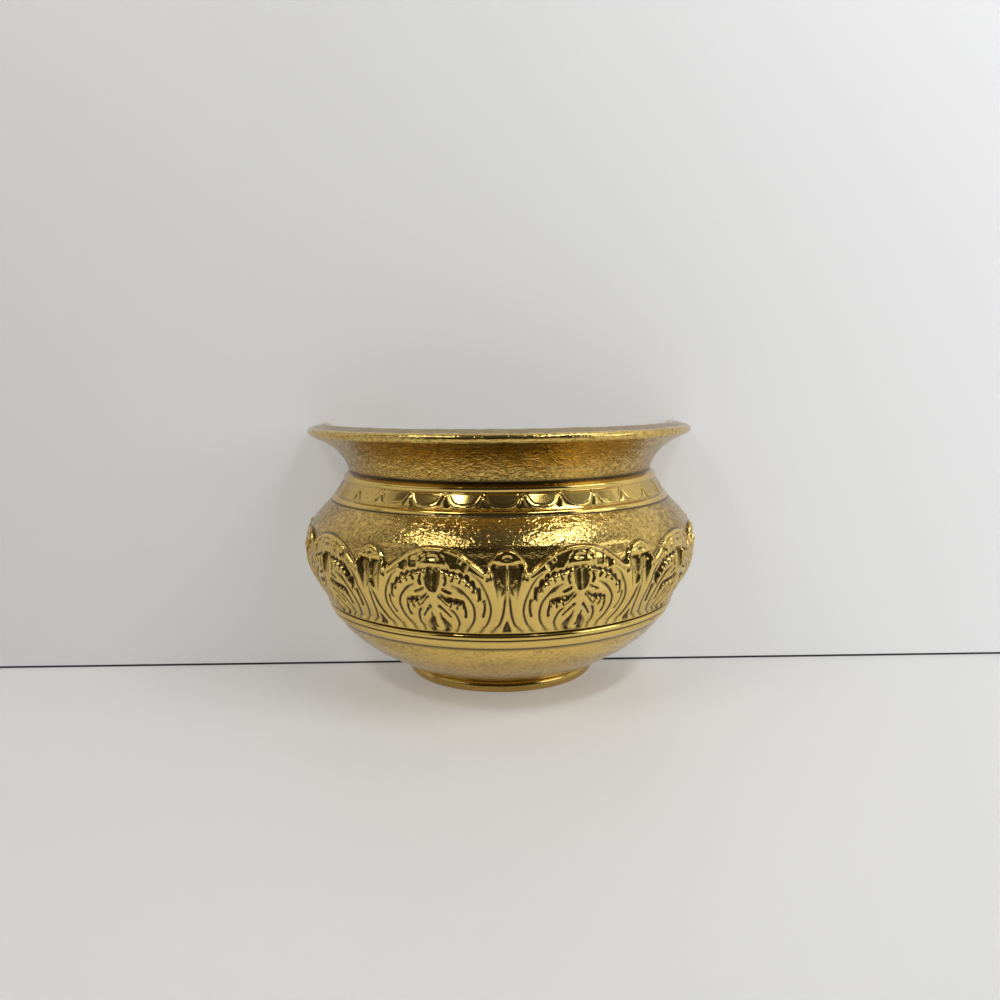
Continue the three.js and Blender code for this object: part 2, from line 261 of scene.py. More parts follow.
TIP_FOLD = [(29.6, 37.0), (30.2, 39.2), (31.6, 42.4), (33.7, 45.6), (37.2, 47.4), (41.0, 45.6)]
PANEL_SIDE = [(24.2, 37.6), (24.2, 41.0), (24.0, 45.4)]
RECESS_SIDE = [(20.9, 36.6), (20.5, 39.0), (19.4, 42.4)]


def bent(points, fine=12):
    """A smooth line through the points."""
    p = np.array(points, float)
    p = np.vstack([2 * p[0] - p[1], p, 2 * p[-1] - p[-2]])
    t = np.linspace(0, 1, fine, endpoint=False)[:, None]
    runs = []
    for a, b, c, d in zip(p[:-3], p[1:-2], p[2:-1], p[3:]):
        square = 2 * a - 5 * b + 4 * c - d
        cube = 3 * b - a - 3 * c + d
        runs.append(b + (c - a) * t / 2 + square * t**2 / 2 + cube * t**3 / 2)
    return np.vstack(runs + [p[-2:-1]])


def nearness(line, x, y):
    """Distance to a line, the share of its length at the nearest place, and the side: 1 to the left."""
    best = np.full(x.shape, 1e9)
    share = np.zeros(x.shape)
    side = np.zeros(x.shape)
    for i, (a, b) in enumerate(zip(line[:-1], line[1:])):
        way = b - a
        t = np.clip(((x - a[0]) * way[0] + (y - a[1]) * way[1]) / (way @ way + 1e-12), 0, 1)
        gap = np.hypot(x - a[0] - t * way[0], y - a[1] - t * way[1])
        nearer = gap < best
        share = np.where(nearer, (i + t) / (len(line) - 1), share)
        side = np.where(nearer, np.sign(way[0] * (y - a[1]) - way[1] * (x - a[0])), side)
        best = np.minimum(gap, best)
    return best, share, side


def distance(points, x, y):
    """Distance to the smooth line through the points."""
    return nearness(bent(points), x, y)[0]


def read_off(line, at):
    """A drawn line's second number where its first one is at."""
    places, values = zip(*line)
    return np.interp(at, places, values)


def hump(distance_off, half, power=2.0):
    """1 on a line and nearly 0 a little more than half away from it."""
    return np.exp(-np.abs(distance_off / half) ** power)


# Lobes on the side of the big leaf. Pairs in brackets are where a soft step begins and ends.
LOBE = 1.55  # height of the lobes over the ground
LOBE_LIFT = 0.03  # how much the lobes stand out further for each millimetre up the wall
LIFT_LEVEL, LIFT_REACH = 14, 22
STEP_DEPTH, STEP_FLAT, STEP_STEEP = 1.1, 0.3, 1.0
STEP_SLOPES = ((UPPER_STEP, 4.2), (LOWER_STEP, 3.8))  # each step and how wide its slope is
STEP_END, STEP_LEFT = (0.55, 0.85), 0.2
STEP_LIP, STEP_LIP_PLACE = 0.55, 1.3
VEIN_CUT, VEIN_CUT_HALF = 0.45, 0.6
VEIN_DIP, VEIN_DIP_HALF = 0.9, 2.7
VEIN_START, VEIN_LEAST = (0.0, 0.25), 0.35
GAP_CUT, GAP_DIP, GAP_DIP_WIDTH = 1.1, 0.3, 2.4
THIN_LINES = ((RECESS_SIDE, 0.2), (PANEL_SIDE, 0.3), (TIP_FOLD, 0.5))
THIN_HALF = 0.45
RECESS_MIDDLE, RECESS_HALF, RECESS_FLOOR = (22.0, 40.6), (2.0, 3.0), 0.5
PANEL_LEFT, PANEL_RIGHT, PANEL_FOOT = (24.2, 25.2), (29.0, 30.0), (36.8, 39.0)
PANEL_HEIGHT, PANEL_TILT, PANEL_LEVEL = 1.4, 0.02, 38
LOBE_FOOT, LOBE_FOOT_ROUND, LOBE_LEAST = (0.0, 3.2), 0.55, 0.1


def lobe_heights(x, y):
    """The lobes on the side of the big leaf, with their steps, gaps and veins."""
    height = LOBE + LOBE_LIFT * np.clip(y - LIFT_LEVEL, -LIFT_LEVEL, LIFT_REACH)
    for line, sloping in STEP_SLOPES:
        gap, share, side = nearness(bent(line), x, y)
        gentle, steep = 1 - smooth(STEP_FLAT, sloping, gap), 1 - smooth(STEP_FLAT, STEP_STEEP, gap)
        slope = np.where(side < 0, gentle, steep)
        upper = 1 - smooth(*STEP_END, share)
        height -= STEP_DEPTH * slope * (STEP_LEFT + (1 - STEP_LEFT) * upper)
        height += STEP_LIP * upper * hump(gap - STEP_LIP_PLACE, STEP_LIP_PLACE) * (side > 0)
    for line in (OUTER_VEIN, MIDDLE_VEIN, INNER_VEIN, STEM_VEIN):
        gap, share, _ = nearness(bent(line), x, y)
        cut = VEIN_CUT * hump(gap, VEIN_CUT_HALF) + VEIN_DIP * hump(gap, VEIN_DIP_HALF)
        height -= cut * (VEIN_LEAST + (1 - VEIN_LEAST) * smooth(*VEIN_START, share))
    for line, top, foot in GAPS:
        gap, share, _ = nearness(bent(line), x, y)
        half = top + (foot - top) * share
        height -= GAP_CUT * hump(gap, half, 3) + GAP_DIP * hump(gap, GAP_DIP_WIDTH * half)
    for line, depth in THIN_LINES:
        height -= depth * hump(distance(line, x, y), THIN_HALF)
    across, up = (x - RECESS_MIDDLE[0]) / RECESS_HALF[0], (y - RECESS_MIDDLE[1]) / RECESS_HALF[1]
    recess = hump(np.hypot(across, up), 1.0, 4)
    panel = smooth(*PANEL_LEFT, x) * (1 - smooth(*PANEL_RIGHT, x)) * smooth(*PANEL_FOOT, y)
    flat = PANEL_HEIGHT + PANEL_TILT * (y - PANEL_LEVEL)
    height += recess * (RECESS_FLOOR - height) + panel * (flat - height)
    foot_round = LOBE_FOOT_ROUND * (1 - smooth(*LOBE_FOOT, y))
    return np.maximum(height - foot_round, LOBE_LEAST)


# Middle of the big leaf, with the rib's half width at each height
RIB_WIDTH = [(0.8, 4.0), (2.0, 6.0), (3.4, 6.6), (4.8, 6.5), (6.4, 5.8), (8.5, 4.5), (11.0, 3.0), (15.0, 2.3),
             (20.0, 2.3), (25.0, 2.7), (28.0, 3.6), (31.0, 4.6), (39.0, 4.8)]
RIB_EDGE, RIB_TOP, RIB_FOOT = (0.0, 0.7), (38.6, 41.2), (0.7, 1.5)
STALK_EDGE, STALK_ROUND = 0.9, 1.35
BULB_RIDGE, BULB_RIDGE_WIDTH = 1.9, [(2.0, 2.4), (9.0, 1.6)]
BULB_RIDGE_END, BULB_RIDGE_DROP = (7.0, 1.5), 0.5
HOLLOW_FLOOR, HOLLOW_RIM, HOLLOW_SIDE = 0.05, 0.5, (0.75, 1.0)
CHANNEL_FLOOR, CHANNEL_TILT, CHANNEL_LEVEL = 0.1, 0.12, 38
CHANNEL_RIM, CHANNEL_SIDE = 1.5, (0.6, 0.95)
CHANNEL_LINE, CHANNEL_LINE_HALF = 0.35, 0.5
CHANNEL_START, BULB_END = (25.0, 30.0), (9.0, 14.0)
BULB_CUT, BULB_CUT_HALF = 0.3, 0.45


def rib_heights(x, y, around):
    """The big leaf's middle: an open channel above, a stalk below and a bulb with two hollows at the foot."""
    off = np.abs(x - LEAF_HALF)
    half = read_off(RIB_WIDTH, y)
    inside = smooth(*RIB_EDGE, half - off) * (1 - smooth(*RIB_TOP, y)) * smooth(*RIB_FOOT, y)
    stalk = STALK_EDGE + STALK_ROUND * np.sqrt(np.clip(1 - (off / half) ** 2, 0, 1))
    ridge = BULB_RIDGE * hump(off, read_off(BULB_RIDGE_WIDTH, y), 3)
    ridge = ridge * (1 - BULB_RIDGE_DROP * smooth(*BULB_RIDGE_END, y))
    hollow = HOLLOW_FLOOR + ridge + HOLLOW_RIM * smooth(*HOLLOW_SIDE, off / half)
    channel = CHANNEL_FLOOR + CHANNEL_TILT * (CHANNEL_LEVEL - y)
    channel = channel + CHANNEL_RIM * smooth(*CHANNEL_SIDE, off / half)
    channel = channel + CHANNEL_LINE * hump(off, CHANNEL_LINE_HALF)
    opening = smooth(*CHANNEL_START, y)
    bulb = 1 - smooth(*BULB_END, y)
    middle = stalk * (1 - opening) * (1 - bulb) + channel * opening + hollow * bulb
    line = hump(distance(BULB_LINE, x, y), BULB_CUT_HALF)
    return around * (1 - inside) + middle * inside - BULB_CUT * line


# Small leaf: half widths of its scoop, of the flame that rises into it and of its stem, at each height
SCOOP_WIDTH = [(22.0, 5.6), (24.0, 6.2), (26.6, 6.5), (32.9, 7.0), (37.4, 7.8), (40.2, 9.0)]
FLAME_WIDTH = [(22, 3.2), (24, 2.7), (26, 1.9), (28, 0.9), (30, 0.0)]
STEM_WIDTH = [(0.6, 3.4), (1.4, 3.2), (10.8, 0.0)]
STEM_START = (0.4, 1.6)
STEM_RIDGE = [(0.0, 24.0), (0.35, 18.0), (0.7, 13.0), (1.6, 8.0), (3.2, 3.4), (4.6, 1.2)]
STEM_RIDGE_HEIGHT, STEM_RIDGE_HALF = 0.3, 0.6
STEM_RIDGE_FOOT, STEM_RIDGE_TOP = (1.0, 3.0), (24, 27)
STEM_EDGE, STEM_FLOOR = (0.0, 1.2), 0.2
DROP_FOOT, DROP_ROUND, DROP_MIDDLE = 22.2, 1.6, 4.6
SCOOP_EDGE, SCOOP_FOOT, SCOOP_TOP = (-0.1, 0.6), (0.0, 1.0), (-1.4, 1.0)
SCOOP_TOP_LEVEL, SCOOP_TOP_ROUND = 41.4, 0.5
FLAME_EDGE = (0.0, 0.6)
SCOOP_LEVEL, SCOOP_DEPTH, SCOOP_TILT, SCOOP_BEND = 22, 1.35, 0.19, 0.0045
SCOOP_RIM, SCOOP_LINE, SCOOP_LINE_HALF = 0.95, 0.45, 0.6
SCOOP_FOLD, SCOOP_FOLD_PLACE, SCOOP_FOLD_HALF = 0.3, 0.6, 0.12
SMALL_TIP = (41.3, 6.9)  # foot of the rolled lip, half its width
BIG_TIP = (41.2, 6.6)


def stem_foot(x, y, edge):
    """1 in the three-cornered hollow of the stem, with a soft edge."""
    return smooth(*edge, read_off(STEM_WIDTH, y) - x) * smooth(*STEM_START, y)


def small_leaf_heights(x, y, around):
    """The small leaf between two big ones: a deep scoop that ends in two drops over a three-cornered stem."""
    half = read_off(SCOOP_WIDTH, y)
    low = DROP_FOOT + DROP_ROUND * np.abs(x / DROP_MIDDLE - 1) ** 2
    flame = smooth(*FLAME_EDGE, x - read_off(FLAME_WIDTH, y))
    over = y - SCOOP_TOP_LEVEL - SCOOP_TOP_ROUND * (x / SMALL_TIP[1]) ** 2
    body = smooth(*SCOOP_EDGE, half - x) * smooth(*SCOOP_FOOT, y - low)
    body = body * (1 - smooth(*SCOOP_TOP, over)) * flame
    across = np.clip(x / half, 0, 1)
    floor = SCOOP_DEPTH - SCOOP_TILT * (y - SCOOP_LEVEL) + SCOOP_BEND * (y - SCOOP_LEVEL) ** 2
    scoop = floor + SCOOP_RIM * across ** 8 + SCOOP_LINE * hump(x, SCOOP_LINE_HALF)
    scoop = scoop + SCOOP_FOLD * hump(across - SCOOP_FOLD_PLACE, SCOOP_FOLD_HALF)
    height = around * (1 - body) + scoop * body
    ridge = STEM_RIDGE_HEIGHT * hump(distance(STEM_RIDGE, x, y), STEM_RIDGE_HALF)
    height += ridge * smooth(*STEM_RIDGE_FOOT, y) * (1 - smooth(*STEM_RIDGE_TOP, y))
    foot = stem_foot(x, y, STEM_EDGE)
    return height * (1 - foot) + STEM_FLOOR * foot


# Rolled leaf tips
WING_START = (0.0, 0.62)
LIP_THICK, LIP_WING_THICK, LIP_RISE = 0.75, 0.6, 0.9
LIP_EDGE, LIP_ROUND = 0.7, 1.7
TIP_HOLLOW, TIP_HOLLOW_WIDTH, TIP_HOLLOW_RISE = 0.9, 0.36, 3.4


def rolled_tip(off, y, tip, around):
    """A leaf tip that curls forward: a lip with two wings that dips in the middle, under a small hollow."""
    low, half = tip
    wing = smooth(*WING_START, np.abs(off) / half)
    taper = np.sqrt(np.clip(1 - (off / half) ** 4, 0, 1))
    thick = (LIP_THICK + LIP_WING_THICK * wing) * taper + 1e-6
    round_part = np.clip(1 - ((y - low - LIP_RISE - LIP_RISE * wing) / thick) ** 2, 0, 1)
    lip = LIP_EDGE + LIP_ROUND * np.sqrt(round_part)
    hollow = hump(np.hypot(off / (TIP_HOLLOW_WIDTH * half), y - low - TIP_HOLLOW_RISE), 1.0)
    height = around - TIP_HOLLOW * hollow
    return np.where(round_part > 0, np.maximum(height, lip), height)


# Edges of both leaves, the round folds under them and the raised line along them
LEAF_EDGE, LEAF_FOOT, LEAF_LEAST = (-0.5, 0.8), (-0.6, 0.9), -0.9
ARCH_START, ARCH_LINE_START, HEAD_LINE_END = (9.0, 10.0), (9.2, 10.2), (10.6, 11.8)
FOLD_LEVEL = 43
HEAD_FOLD, HEAD_FOLD_PLACE, HEAD_FOLD_HALF, HEAD_FOLD_END = 0.7, 2.3, 1.0, 8
ARCH_FOLD, ARCH_FOLD_PLACE, ARCH_FOLD_HALF, ARCH_FOLD_WIDTH = 0.25, 2.4, 1.2, 6.5
EDGE_LINE, EDGE_LINE_HALF = 0.8, 0.8
EDGE_GROOVE_PLACE, EDGE_GROOVE_HALF = 1.8, 0.75
ARCH_GROOVE, HEAD_GROOVE = 0.55, 0.4


def edge_line(gap, under, groove):
    """The raised line along a leaf's edge and the groove under it."""
    cut = groove * hump(gap - EDGE_GROOVE_PLACE, EDGE_GROOVE_HALF) * (under > 0)
    return EDGE_LINE * hump(gap, EDGE_LINE_HALF) - cut


def leaf_heights(x, y):
    """Height of the leaves over their ground."""
    arch, head = bent(ARCH), bent(SMALL_HEAD)
    under_arch = read_off(arch, x) - y
    under_head = np.where(x < SMALL_HEAD[-1][0], read_off(head[head[:, 0] >= 0], x) - y, -9)
    in_arch = smooth(*LEAF_EDGE, under_arch) * smooth(*ARCH_START, x)
    in_head = smooth(*LEAF_EDGE, under_head)
    to_arch, to_head = nearness(arch, x, y)[0], nearness(head, x, y)[0]
    height = lobe_heights(x, y)
    height = rib_heights(x, y, height)
    height = small_leaf_heights(x, y, height)

    # Rolled tips of both leaves, and the round fold between each tip and the line over it
    folds = HEAD_FOLD * hump(to_head - HEAD_FOLD_PLACE, HEAD_FOLD_HALF) * in_head * (x < HEAD_FOLD_END)
    near_tip = x > LEAF_HALF - ARCH_FOLD_WIDTH
    folds = folds + ARCH_FOLD * hump(to_arch - ARCH_FOLD_PLACE, ARCH_FOLD_HALF) * near_tip
    height = np.where(y > FOLD_LEVEL, height + folds, height)
    height = rolled_tip(x, y, SMALL_TIP, height)
    height = rolled_tip(x - LEAF_HALF, y, BIG_TIP, height)

    # Ground outside the leaves, and the raised line round each leaf
    height = height * np.maximum(in_arch, in_head)
    height += edge_line(to_arch, under_arch, ARCH_GROOVE) * smooth(*ARCH_LINE_START, x)
    height += edge_line(to_head, under_head, HEAD_GROOVE) * (1 - smooth(*HEAD_LINE_END, x))
    return np.maximum(height, LEAF_LEAST) * smooth(*LEAF_FOOT, y)


# Lunette die: half a repeat, from a lunette's middle line to the dart beside it
LUNETTE_HALF = math.radians(LUNETTE_REPEAT / 2) * (BAND_RADIUS_LOW + BAND_RADIUS_HIGH) / 2
LUNETTE_TOP = 8.5
LUNETTE_EDGE = [(-1.0, 0.5), (0.0, 0.5), (2.6, 0.65), (5.0, 1.3), (6.8, 2.6), (8.1, 4.4), (9.2, 6.6),
                (10.0, 8.6)]
LUNETTE_PANEL, LUNETTE_TILT = 0.3, 0.95
DART_EDGE, DART_LEAST, DART_WIDTH = (0.4, 1.2), 0.25, 3.4
LUNETTE_LINE, LUNETTE_LINE_HALF = 0.5, 0.5
LUNETTE_GROOVE, LUNETTE_GROOVE_PLACE, LUNETTE_GROOVE_HALF = 0.25, 1.0, 0.4
LUNETTE_FOOT, LUNETTE_END, LUNETTE_DROP = (0.1, 0.7), (LUNETTE_TOP - 0.5, LUNETTE_TOP + 0.2), 0.8


def lunette_heights(x, y):
    """Height of the lunettes and darts over the band."""
    edge = bent(LUNETTE_EDGE)
    gap = nearness(edge, x, y)[0]
    inside = y > read_off(edge, x)
    signed = np.where(inside, gap, -gap)
    panel = LUNETTE_PANEL + LUNETTE_TILT * (1 - y / LUNETTE_TOP)
    point = DART_LEAST + (1 - DART_LEAST) * np.clip(1 - (LUNETTE_HALF - x) / DART_WIDTH, 0, 1)
    height = np.where(inside, panel, smooth(*DART_EDGE, -signed) * point)
    height = height + LUNETTE_LINE * hump(gap, LUNETTE_LINE_HALF)
    height = height - LUNETTE_GROOVE * hump(signed - LUNETTE_GROOVE_PLACE, LUNETTE_GROOVE_HALF)
    return height * smooth(*LUNETTE_FOOT, y) * (1 - smooth(*LUNETTE_END, y) * LUNETTE_DROP)


def blurred(values, steps):
    """The same heights without what is narrower than a few steps, by two passes."""
    width = 2 * steps + 1
    for axis in (0, 1, 0, 1):
        padded = np.pad(values, [(steps, steps) if axis == a else (0, 0) for a in (0, 1)], mode="edge")
        total = np.cumsum(padded, axis=axis)
        first = np.take(total, [width - 1], axis=axis)
        ends = np.take(total, range(width, total.shape[axis]), axis=axis)
        starts = np.take(total, range(total.shape[axis] - width), axis=axis)
        values = np.concatenate([first, ends - starts], axis=axis) / width
    return values


# Painted shade beside the lines of the leaves and along their foot, and darkening in the hollows of the bulb
# and the stem: how much there is of each, and how far it reaches from the lines
BULB_PLACE, BULB_HALF = (3.9, 5.0), (1.7, 4.2)
STEM_DARKENING_EDGE, FOOT_SHADE_END = (0.0, 0.8), (0.0, 4.0)
LINE_SHADE_HALF, GAP_SHADE_HALF = 0.7, 0.6
BULB_DARKENING, STEM_DARKENING, LINE_SHADE, FOOT_SHADE = 0.36, 0.45, 0.4, 0.1


def leaf_shade_and_darkening(x, y):
    """Painted shade beside the lines of the leaves and along their foot, and darker hollows at the feet of
    the big leaf's bulb and the small leaf's stem.
    """
    off = np.abs(x - LEAF_HALF)
    bulb = hump(np.hypot((off - BULB_PLACE[0]) / BULB_HALF[0], (y - BULB_PLACE[1]) / BULB_HALF[1]), 1.0, 4)
    beside = np.zeros_like(x)
    for line in (OUTER_VEIN, MIDDLE_VEIN, INNER_VEIN, STEM_VEIN, BULB_LINE, UPPER_STEP, LOWER_STEP):
        beside = np.maximum(beside, hump(distance(line, x, y), LINE_SHADE_HALF))
    for line, _, _ in GAPS:
        beside = np.maximum(beside, hump(distance(line, x, y), GAP_SHADE_HALF))
    foot = 1 - smooth(*FOOT_SHADE_END, y)
    stem = stem_foot(x, y, STEM_DARKENING_EDGE)
    return BULB_DARKENING * bulb + STEM_DARKENING * stem + LINE_SHADE * beside + FOOT_SHADE * foot


# How a die's marks are read from its heights: blurs in steps of the die, and heights that count as full
SOFTENING, NEAR_BLUR, WIDE_BLUR = 1, 6, 13
FULL_RECESS, FULL_CREST, FULL_SHADE_HALO, SHADE_HALO = 0.6, 0.45, 0.8, 0.2
BARE_HEIGHT = 0.08


def die_mesh(name, heights, width, low, high, shade_and_darkening=None):
    """A flat grid that carries the heights and how deep each place lies among its neighbours."""
    xs = np.linspace(0, width, int(width / DIE_STEP) + 1)
    ys = np.linspace(low, high, int((high - low) / DIE_STEP) + 1)
    x, y = np.meshgrid(xs, ys)
    count = len(xs)
    middle = np.s_[:, count - 1:2 * count - 1]
    pressed = heights(x, y)
    mirrored = blurred(np.hstack([pressed[:, :0:-1], pressed, pressed[:, -2::-1]]), SOFTENING)
    pressed = mirrored[middle]
    level = blurred(mirrored, NEAR_BLUR)[middle]
    wide = blurred(mirrored, WIDE_BLUR)[middle]
    # Painted shade: a soft dark halo beside the deeper lines. The recess darkens the grooves, partly as
    # patina and partly as painted shade
    shade_halo = SHADE_HALO * np.clip((wide - pressed) / FULL_SHADE_HALO, 0, 1)
    recess = np.maximum((level - pressed) / FULL_RECESS, shade_halo) + (shade_and_darkening(x, y) if shade_and_darkening else 0.0)
    mesh = bpy.data.meshes.new(name)
    corners = np.arange(len(ys) * count).reshape(len(ys), count)
    faces = np.stack([corners[:-1, :-1], corners[:-1, 1:], corners[1:, 1:], corners[1:, :-1]], -1)
    flat = np.stack([x, y, np.zeros_like(x)], -1).reshape(-1, 3)
    mesh.from_pydata(flat, [], faces.reshape(-1, 4).tolist())
    for attribute, values in (("press", pressed), ("recess", np.clip(recess, 0, 1)),
                              ("crest", np.clip((pressed - level) / FULL_CREST, 0, 1)),
                              ("bare", (np.abs(pressed) < BARE_HEIGHT).astype(float))):
        mesh.attributes.new(attribute, "FLOAT", "POINT").data.foreach_set("value", values.ravel())
    places = mesh.attributes.new("die_place", "FLOAT_VECTOR", "POINT")
    share = np.stack([x / width, (y - low) / (high - low), np.zeros_like(x)], -1)
    places.data.foreach_set("vector", share.ravel())
    return linked(name, mesh)


def resampled(points, spacing):
    """Evenly spaced points on a line."""
    run = np.r_[0, np.cumsum(np.linalg.norm(np.diff(points, axis=0), axis=1))]
    places = np.linspace(0, run[-1], max(int(round(run[-1] / spacing)), 1) + 1)
    return np.stack([np.interp(places, run, points[:, i]) for i in (0, 1)], -1)


# Row spacing and columns of each zone of the shell's outside
ZONES = {
    "floor": (14.0, PLAIN), "corner": (1.0, PLAIN), "bowl": (3.0, PLAIN), "ridge_band": (0.65, PLAIN),
    "ridge_bead": (0.5, PLAIN), "ridge_groove": (0.4, MIDDLE), "frieze": (0.66, FINE),
    "shoulder": (1.3, MIDDLE), "lower_fillet": (0.6, MIDDLE), "band_step": (0.6, MIDDLE), "band": (0.7, FINE),
    "upper_fillet": (0.6, MIDDLE), "neck_groove": (0.6, MIDDLE), "neck": (1.6, PLAIN),
    "rim_nose": (0.55, PLAIN), "rim_top": (1.7, PLAIN), "rim_curl": (0.5, PLAIN), "lip": (1.1, PLAIN),
}
# How much each zone is hammered, tarnished and darkened; the neck's tarnish and darkening are partly painted
# shade under the rim
HAMMERED = {"bowl": 0.9, "shoulder": 1.5, "neck": 3.2, "rim_top": 2.4, "rim_nose": 1.2}
DULLED = {"rim_top": 1.4, "rim_nose": 0.5, "neck": 0.8, "shoulder": 0.75, "neck_groove": 0.6, "band": 0.25}
ZONE_DIRT_AND_SHADE = {"rim_top": 0.34, "rim_nose": 0.12, "neck": 0.07}
FOOT_DARKENING = 0.24  # darker where the bowl meets the foot
FOOT_DARKENING_REACH = 13.0
SIDE_SHADE = 1.25  # painted shade: the sides are darker than the front
SIDE_SHADE_RANGE = (35.0, 75.0)  # degrees from the front where the painted shade of the sides begins and where it is darkest
DIP_REACH = 1.1  # distance over which a row is compared with its neighbours
FULL_DIP = 0.25
GROUND_START = 3.0  # length over which the ground sinks at the foot of the leaves
GROUND_END = (LEAF_TOP - 6.0, LEAF_TOP + 1.0)
LINING_CLEAR = 0.95  # share of the sheet's thickness that the lining keeps everywhere
PRESSED = ("frieze", "band")
TIGHT = ("rim_curl", "rim_nose", "lip")
LINING_SPACING = 2.4
CARRIED = ("run", "leaf", "band", "hammer", "inside", "dip", "dull")


def shell_rows():
    """Rows of the shell from the floor's middle over the rim and back inside, with what each carries."""
    rows = []
    for zone, (spacing, columns) in ZONES.items():
        points = resampled(outline[zone], spacing)
        run = np.r_[0, np.cumsum(np.linalg.norm(np.diff(points, axis=0), axis=1))]
        for place, at in zip(points[1:], run[1:]):
            rows.append({"place": place, "columns": columns, "zone": zone, "run": at, "inside": 0.0})
    places = np.array([row["place"] for row in rows])
    before = np.vstack([places[:1], places[:-1]])
    after = np.vstack([places[1:], places[-1:]])
    way = (after - before) / np.linalg.norm(after - before, axis=1)[:, None]
    for row, step in zip(rows, way):
        row["out"] = np.array([step[1], -step[0]])
        row["leaf"] = 1.0 if row["zone"] == "frieze" else 0.0
        row["band"] = 1.0 if row["zone"] == "band" else 0.0
        row["hammer"] = HAMMERED.get(row["zone"], 0.0)
        row["dull"] = DULLED.get(row["zone"], 0.0)
        if row["leaf"]:
            fade = smooth(0.0, GROUND_START, row["run"]) * (1 - smooth(*GROUND_END, row["run"]))
            row["place"] = row["place"] - row["out"] * LEAF_GROUND * fade
    ground = np.array([row["place"] for row in rows])
    for row in rows:
        gap = np.linalg.norm(ground - row["place"], axis=1)
        weight = np.exp(-(gap / DIP_REACH) ** 2)[:, None]
        # How far a row lies in a hollow of the profile: hollows are darkened, partly as patina and partly as
        # painted shade, and rises are rubbed brighter
        hollow = ((ground * weight).sum(0) / weight.sum() - row["place"]) @ row["out"]
        row["dip"] = float(np.clip(hollow / FULL_DIP, -1, 1)) * (row["zone"] not in PRESSED)
        row["dip"] += ZONE_DIRT_AND_SHADE.get(row["zone"], 0.0)
        if row["zone"] in ("corner", "bowl"):
            out_of_reach = smooth(FOOT_RADIUS, FOOT_RADIUS + FOOT_DARKENING_REACH, row["place"][0])
            row["dip"] += FOOT_DARKENING * (1 - out_of_reach)
    lining = []
    for row in reversed(rows):
        place = row["place"] - row["out"] * SHEET
        gaps = nearness(ground, place[:1], place[1:])[0]
        near = LINING_SPACING if row["zone"] in PRESSED else 2 * LINING_SPACING
        clear = gaps[0] > LINING_CLEAR * SHEET
        apart = not lining or np.linalg.norm(place - lining[-1]["place"]) > near or row["zone"] in TIGHT
        if clear and apart:
            lining.append({**row, "place": place, "columns": PLAIN, "inside": 1.0, "hammer": 0.0, "dip": 0.0})
    return rows + lining


def round_points(radius, height, steps):
    """Points of a half circle from one end of the back plate to the other, and their turns."""
    reach = math.acos(-CUT_Y / radius)
    turn = np.linspace(-reach, reach, steps + 1)
    return np.stack([radius * np.sin(turn), -radius * np.cos(turn), np.full_like(turn, height)], -1), turn


def turned_blank(name, rows):
    """The closed shell before pressing: the rows turned about the upright axis and cut along the back."""
    verts, carried, rings = [], [], []
    for row in rows:
        points, turn = round_points(*row["place"], row["columns"])
        first = sum(len(v) for v in verts)
        verts.append(points)
        out = row["out"]
        press_way = np.stack([out[0] * np.sin(turn), -out[0] * np.cos(turn), np.full_like(turn, out[1])], -1)
        fixed = np.tile([row[mark] for mark in CARRIED], (len(turn), 1))
        carried.append(np.hstack([np.degrees(turn)[:, None], press_way, fixed]))
        rings.append(first + np.arange(len(turn)))
    count = sum(len(v) for v in verts)
    for row in (rows[0], rows[-1]):
        verts.append(np.array([[0.0, CUT_Y, row["place"][1]]]))
        fixed = [row["inside"] if mark == "inside" else 0.0 for mark in CARRIED]
        carried.append(np.array([[0.0, 0.0, 0.0, row["out"][1], *fixed]]))
    floor_middle, lining_middle = count, count + 1

    faces = [[floor_middle, a, b] for a, b in zip(rings[0][:-1], rings[0][1:])]
    faces += [[lining_middle, b, a] for a, b in zip(rings[-1][:-1], rings[-1][1:])]
    for low, high in zip(rings[:-1], rings[1:]):
        if len(low) == len(high):
            faces += np.stack([low[:-1], high[:-1], high[1:], low[1:]], -1).tolist()
        elif len(low) < len(high):
            for i in range(len(low) - 1):
                a, b, c = high[2 * i:2 * i + 3]
                faces += [[low[i], a, b], [low[i], b, low[i + 1]], [low[i + 1], b, c]]
        else:
            for i in range(len(high) - 1):
                a, b, c = low[2 * i:2 * i + 3]
                faces += [[high[i], b, a], [high[i], high[i + 1], b], [high[i + 1], c, b]]
    right = [floor_middle] + [ring[-1] for ring in rings] + [lining_middle]
    left = [lining_middle] + [ring[0] for ring in reversed(rings)] + [floor_middle]
    mesh = bpy.data.meshes.new(name)
    mesh.from_pydata(np.vstack(verts) * MM, [], [*faces, right, left])
    carried = np.vstack(carried)
    for i, attribute in [(0, "turn"), *enumerate(CARRIED, 4)]:
        mesh.attributes.new(attribute, "FLOAT", "POINT").data.foreach_set("value", carried[:, i].copy())
    ways = mesh.attributes.new("press_way", "FLOAT_VECTOR", "POINT")
    ways.data.foreach_set("vector", carried[:, 1:4].ravel())

    shape = bmesh.new()
    shape.from_mesh(mesh)
    shape.faces.ensure_lookup_table()
    ends = [shape.faces[-1], shape.faces[-2]]
    for end in ends:
        for edge in end.edges:
            edge.smooth = False
    bmesh.ops.triangulate(shape, faces=ends)
    bmesh.ops.recalc_face_normals(shape, faces=shape.faces)
    if shape.calc_volume(signed=True) < 0:
        bmesh.ops.reverse_faces(shape, faces=shape.faces)
    for face in shape.faces:
        face.smooth = True
    shape.to_mesh(mesh)
    shape.free()
    return linked(name, mesh)


def linked(name, data):
    """A new object for a mesh, curve, lamp or camera, in the scene."""
    piece = bpy.data.objects.new(name, data)
    bpy.context.collection.objects.link(piece)
    return piece


